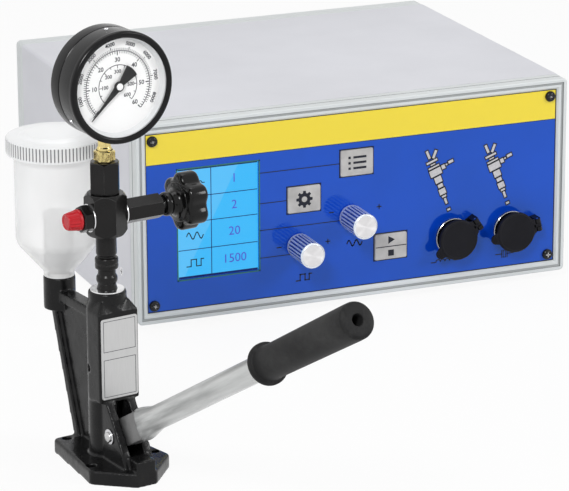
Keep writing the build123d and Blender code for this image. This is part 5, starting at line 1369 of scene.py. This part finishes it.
# socket covers: a round cover with a lift tab, a hinge arm and a plug on its back
coverValues = {
    "solenoid": {"spot": (293.0, 43.0), "turn": 33.0}, "piezo": {"spot": (348.5, 43.0), "turn": 12.0},
    "radius": 18.0, "bottom": 9.3, "top": 13.3, "plug": 9.7, "hinge": 22.5, "pin": 10.3,
    "tabMiddle": -19.9, "tabRound": 4.5, "tabLow": 2.5, "tabHigh": 0.8,
    "flare": [(-18.3, -5.2), (-16.9, -6.4), (-15.4, -8.2), (-13.0, -9.2)],
    "lug": [(13.0, -10.0), (15.6, -8.4), (17.6, -6.6), (19.4, -5.7)],
    "ribs": (-22.8, -21.3, -19.8), "knuckle": [(1.15, -1.45), (2.6, -1.45), (2.6, 1.45), (1.15, 1.45)],
}


def makeCovers(values):
    radius, bottom, top, hinge = values["radius"], values["bottom"], values["top"], values["hinge"]
    low, high = top - values["tabLow"], top - values["tabHigh"]
    flare, lug, plug = values["flare"], values["lug"], values["plug"]
    for name in ("solenoid", "piezo"):
        place = panel @ onPanel(values[name]["spot"], values[name]["turn"])
        disc = turned(
            [(0, bottom - 1.4), (plug, bottom - 1.4), (plug, bottom), (radius - 0.4, bottom),
             (radius, bottom + 0.4), (radius, top - 1.1), (radius - 1.1, top), (radius - 2.0, top),
             (radius - 2.4, top - 0.25), (0, top - 0.25)],
            softness={5: 0.4, 6: 0.4, 7: 0.2, 8: 0.2}, steps=128,
        )
        tip = [polar(values["tabRound"], turn) for turn in range(110, 251, 10)]
        tip = [(values["tabMiddle"] + x, y) for x, y in tip]
        tab = extruded(tip + flare + mirrored(flare), high - low, 0.35, 2)
        web = extruded(lug + mirrored(lug), high - low, 0.3, 2)
        sunk = Matrix.Translation((0, 0, low))
        ribs = []
        for x in values["ribs"]:
            ribs.append((slab(0.8, 5.2, high - 0.1, high + 0.35, 0.15, 1), Matrix.Translation((x, 0, 0))))
        arm = slab(hinge - 12, 2.9, low, high, 0.3)
        bmesh.ops.translate(arm, verts=arm.verts, vec=((hinge + 12) / 2, 0, 0))
        knuckle = closedTurned(values["knuckle"], steps=32, softness={1: 0.3, 2: 0.3})
        turn = Matrix.Translation((hinge, 0, values["pin"])) @ Matrix.Rotation(radians(90), 4, "X")
        piece = merged(disc, (tab, sunk), (web, sunk), arm, (knuckle, turn), *ribs)
        cap = name + "_cap"
        addPiece(name + "Cover", piece, place, cap, "capPlastic", (cap,), 35)


rimValues = {
    "rim": [(13.0, 8.3), (13.65, 8.3), (13.65, 8.9), (13.2, 9.1), (13.0, 9.1)],
    "band": [(16.0, 1.3), (16.65, 1.3), (16.65, 1.75), (16.2, 2.1), (16.0, 2.1)],
    "sleeve": [(0.7, -6.5), (1.2, -6.5), (1.2, -3.2), (0.7, -3.2)], "contacts": 4, "circle": 5.0,
}


def makeSocketRims(values, sockets):
    # bright rims on the black sockets, with contact sleeves on the floor of each recess
    for name in ("solenoid", "piezo"):
        place = panel @ onPanel(sockets[name]["spot"], sockets[name]["turn"])
        rims = merged(*[closedTurned(values[part], steps=96) for part in ("rim", "band")])
        addPiece(name + "Rims", rims, place, "root", "screwBright")
        sleeves = []
        for step in range(values["contacts"]):
            sleeve = closedTurned(values["sleeve"], steps=20, softness={2: 0.15})
            spot = polar(values["circle"], 360 / values["contacts"] * step)
            sleeves.append((sleeve, Matrix.Translation((*spot, 0))))
        addPiece(name + "Contacts", merged(*sleeves), place, "root", "socketContact")


makeCovers(coverValues)
makeSocketRims(rimValues, coverValues)
print("case: knobs and socket covers")

# print on the panel: lines from the display, marks at the controls, outlines of the keys, plain symbols, and a
# dark line round the panel's edge that is a painted shadow of its gap
printValues = {
    "ink": 0.05, "line": 0.75, "panelSize": (381.4, 156.4), "panelMiddle": (200, 87.5), "seam": 0.7,
    "leaders": [
        ((111.6, 121.0), (185.4, 121.0)), ((111.6, 94.0), (136.4, 94.0)), ((111.6, 70.2), (188.6, 70.2)),
        ((111.6, 45.6), (140.0, 45.6)),
    ],
    "minus": [(177.9, 78.5), (129.3, 53.0)], "plus": [(222.4, 78.5), (174.5, 53.0)], "mark": (2.3, 1.0),
    "keys": {"menu_key": (201.1, 120.9), "work_key": (152.2, 93.8), "start_stop_key": (233.2, 41.9)},
    "keySize": (30.0, 23.0), "keyFace": 1.6, "keyOutline": 1.1, "outlineShare": 0.85,
    "window": {"middle": (74.3, 83.6), "size": (73.5, 96.8), "frame": 1.1},
    "wave": ((199.4, 48.7), 14, 5.4, 1.1), "pulse": ((152.2, 23.6), 14, 5.4, 1.1),
    "coil": ((285.5, 21.2), 26, 2.2, 0.9), "crystal": ((343.0, 21.0), 17, 6.4, 0.9),
}


def strokes(points, width, depth=0.05):
    # broken line through flat points, its joints filled by the overlap of its bars
    lines = []
    for first, second in zip(points, points[1:]):
        along = (Vector(second) - Vector(first)).normalized() * width / 2
        lines.append(bar(Vector(first) - along, Vector(second) + along, width, depth))
    return lines


def shifted(parts, spot, level=0.0):
    return [(bm, Matrix.Translation((*spot, level)) @ place) for bm, place in parts]


def waveSymbol(width, height, line):
    points = [(width * (step / 16 - 0.5), height / 2 * sin(2 * pi * step / 8)) for step in range(17)]
    return strokes(points, line)


def pulseSymbol(width, height, line):
    corners = [(-1, -1), (-0.5, -1), (-0.5, 1), (0.15, 1), (0.15, -1), (0.7, -1), (0.7, 1), (1, 1)]
    return strokes([(width / 2 * x, height / 2 * y) for x, y in corners], line)


def terminals(half, gap, line):
    # short lines from both sides that end before a gap
    return strokes([(-half, 0), (-gap, 0)], line) + strokes([(gap, 0), (half, 0)], line)


def coilSymbol(width, radius, line):
    # terminals with four half turns between them
    parts = terminals(width / 2, 4 * radius, line)
    for step in range(4):
        arch, _ = arcBand(radius, line, 0, pi, 0.05, 12)
        parts.append((arch, Matrix.Translation(((2 * step - 3) * radius, 0, 0))))
    return parts


def crystalSymbol(width, height, line, gap=2.6, half=1.1):
    # crystal between two plates
    high = height / 2
    parts = terminals(width / 2, gap, line)
    for side in (-gap, gap):
        parts += strokes([(side, -high), (side, high)], line)
    corners = [(-half, -high), (half, -high), (half, high), (-half, high), (-half, -high)]
    return parts + strokes(corners, line * 0.8)


symbolMakers = {"wave": waveSymbol, "pulse": pulseSymbol, "coil": coilSymbol, "crystal": crystalSymbol}


def makePanelPrint(values):
    depth, line = values["ink"], values["line"]
    reach, thick = values["mark"]
    parts = [bar(first, second, line, depth) for first, second in values["leaders"]]
    for spot in values["minus"]:
        parts += shifted([bar((-reach, 0), (reach, 0), thick, depth)], spot)
    for spot in values["plus"]:
        parts += shifted(plusMark(reach, thick, depth), spot)
    edge = values["keyOutline"]
    outline = [side + 2 * edge for side in values["keySize"]]
    for spot in values["keys"].values():
        parts += shifted(borderLines(*outline, edge * values["outlineShare"], depth), spot)
    for name, makeSymbol in symbolMakers.items():
        spot, *sizes = values[name]
        parts += shifted(makeSymbol(*sizes), spot)
    addParts("panelPrint", parts, panel, "inkBlack")
    window, border = values["window"], values["window"]["frame"]
    size = [side + 2 * border for side in window["size"]]
    lines = shifted(borderLines(*size, border, depth), window["middle"])
    addParts("windowBorder", lines, panel, "inkGreen")
    # dark line along the panel's edge: painted shadow of the gap between the panel and the bezel
    seam = shifted(borderLines(*values["panelSize"], values["seam"], depth), values["panelMiddle"])
    addParts("panelGapPaintedShadow", seam, panel, "inkBlack")


makePanelPrint(printValues)


def gearOutline(outer, root, teeth):
    corners = []
    for tooth in range(teeth):
        for radius, turn in ((root, -15), (outer, -9), (outer, 9), (root, 15)):
            corners.append(polar(radius, 360 * tooth / teeth + turn))
    return corners


# marks on the keys: a list, a gear, and play over stop with a line between them
markValues = {
    "rows": (-4.8, 0, 4.8), "dot": (-8.2, -6.0, 2.2), "dash": (-3.6, 8.6, 2.0), "gear": (7.6, 5.6, 8),
    "gearHole": 2.5, "start": [(-2.6, 2.4), (3.6, 5.9), (-2.6, 9.4)],
    "stop": [(-2.7, -8.6), (2.7, -8.6), (2.7, -3.2), (-2.7, -3.2)], "divider": 14.4, "dividerLine": 0.8,
    "ink": 0.05,
}


def makeKeyMarks(values, keys):
    rows = []
    for row in values["rows"]:
        for left, right, line in (values["dot"], values["dash"]):
            rows.append(bar((left, row), (right, row), line))
    gear = bored(extruded(gearOutline(*values["gear"]), values["ink"]), values["gearHole"], 2, 32)
    start, stop = [(extruded(values[name], values["ink"]), Matrix()) for name in ("start", "stop")]
    divider = bar((-values["divider"], 0), (values["divider"], 0), values["dividerLine"])
    marks = {"menu_key": rows, "work_key": [(gear, Matrix())], "start_stop_key": [start, stop, divider]}
    for key, parts in marks.items():
        parts = shifted(parts, keys["keys"][key], keys["keyFace"])
        addParts("mark" + titled(key), parts, panel, "inkBlack", key)


makeKeyMarks(markValues, printValues)

# injector drawings above the sockets: parts along and across an axis, from the nozzle's tip at 0
drawingValues = {
    "places": [((289.3, 66.3), 20.2), ((345.9, 65.6), 20.7)], "outline": 1.3, "fillLess": (0.5, 0.9),
    "ink": 0.04, "fillInk": 0.07,
    "parts": [
        (2.0, 0.0, 2.6, 3.4), (10.6, 0.0, 6.4, 2.5), (15.3, 0.0, 2.6, 4.6), (20.0, 0.0, 6.2, 6.6),
        (25.8, 0.0, 4.2, 5.2), (31.8, 0.0, 6.6, 7.0), (39.2, 0.0, 7.0, 11.6), (44.4, 0.0, 2.2, 11.0),
        (47.0, 0.0, 1.9, 5.0), (49.8, 0.0, 2.6, 11.0),
    ],
    "branch": [(40.6, 8.2, 4.6, 3.8), (41.3, 11.6, 2.2, 2.2), (42.0, 16.2, 3.2, 5.2)],
    "leads": [(57.0, -1.2, 8.4, 2.7, 3.0), (55.0, 4.6, 8.4, 2.7, -42.0)],
}


def makeDrawings(values):
    fills, outlines = [], []
    edge, (lessWidth, lessLength) = values["outline"], values["fillLess"]
    for spot, tilt in values["places"]:
        for along, across, length, width, *turn in values["parts"] + values["branch"] + values["leads"]:
            place = onPanel(spot, tilt) @ onPanel((across, along), turn[0] if turn else 0)
            outlines.append((slab(width + edge, length + edge, 0, values["ink"]), place))
            fills.append((slab(width - lessWidth, length - lessLength, 0, values["fillInk"]), place))
    addParts("drawingOutlines", outlines, panel, "inkBlack")
    addParts("drawingFills", fills, panel, "inkGrey")


makeDrawings(drawingValues)

# display: clear window over a lit screen with a ruled table of symbols and plain numbers
displayValues = {
    "middle": (74.3, 83.6), "size": (73.1, 96.4), "screen": -2.0, "column": 68.4, "rows": (107.0, 84.7, 60.3),
    "left": 38.6, "right": 110.4, "top": 131.2, "bottom": 36.2, "line": 0.7, "footLine": 1.8, "headShadowLine": 1.4,
    "numbers": [("1", 119.0), ("2", 95.6), ("20", 72.4), ("1500", 48.2)], "numberSize": 11.0,
    "coil": (118.4, 18, 1.7, 0.8), "crystal": (95.6, 16, 6.4, 0.8), "wave": (72.4, 15, 6.0, 0.9),
    "pulse": (48.4, 15, 6.0, 0.9),
}


def makeDisplay(values):
    level, line, column = values["screen"], values["line"], values["column"]
    lens = merged((slab(*values["size"], level + 0.25, 0, 0.2, 2), onPanel(values["middle"])))
    addPiece("displayWindow", lens, panel, "root", "windowClear", ("display_lens",))
    left, right, top, bottom = values["left"], values["right"], values["top"], values["bottom"]
    rules = [bar((column, bottom), (column, top), line)]
    rules += [bar((left, row), (right, row), line) for row in values["rows"]]
    # the thicker rule along the top is a painted shadow of the window's top edge on the screen
    for row, thick in ((bottom, values["footLine"]), (top, values["headShadowLine"])):
        rules.append(bar((left, row), (right, row), thick))
    icons, numbers = [], []
    for name, makeSymbol in symbolMakers.items():
        row, *sizes = values[name]
        icons += shifted(makeSymbol(*sizes), ((left + column) / 2, row))
    for text, row in values["numbers"]:
        numbers.append(words(text, values["numberSize"], ((column + right) / 2, row)))
    for name, parts, ink in (
        ("displayRules", rules, "inkNavy"), ("displaySymbols", icons, "inkBlack"),
        ("displayNumbers", numbers, "inkViolet"),
    ):
        addParts(name, shifted(parts, (0, 0), level), panel, ink)


makeDisplay(displayValues)
print("case: print, drawings and display")
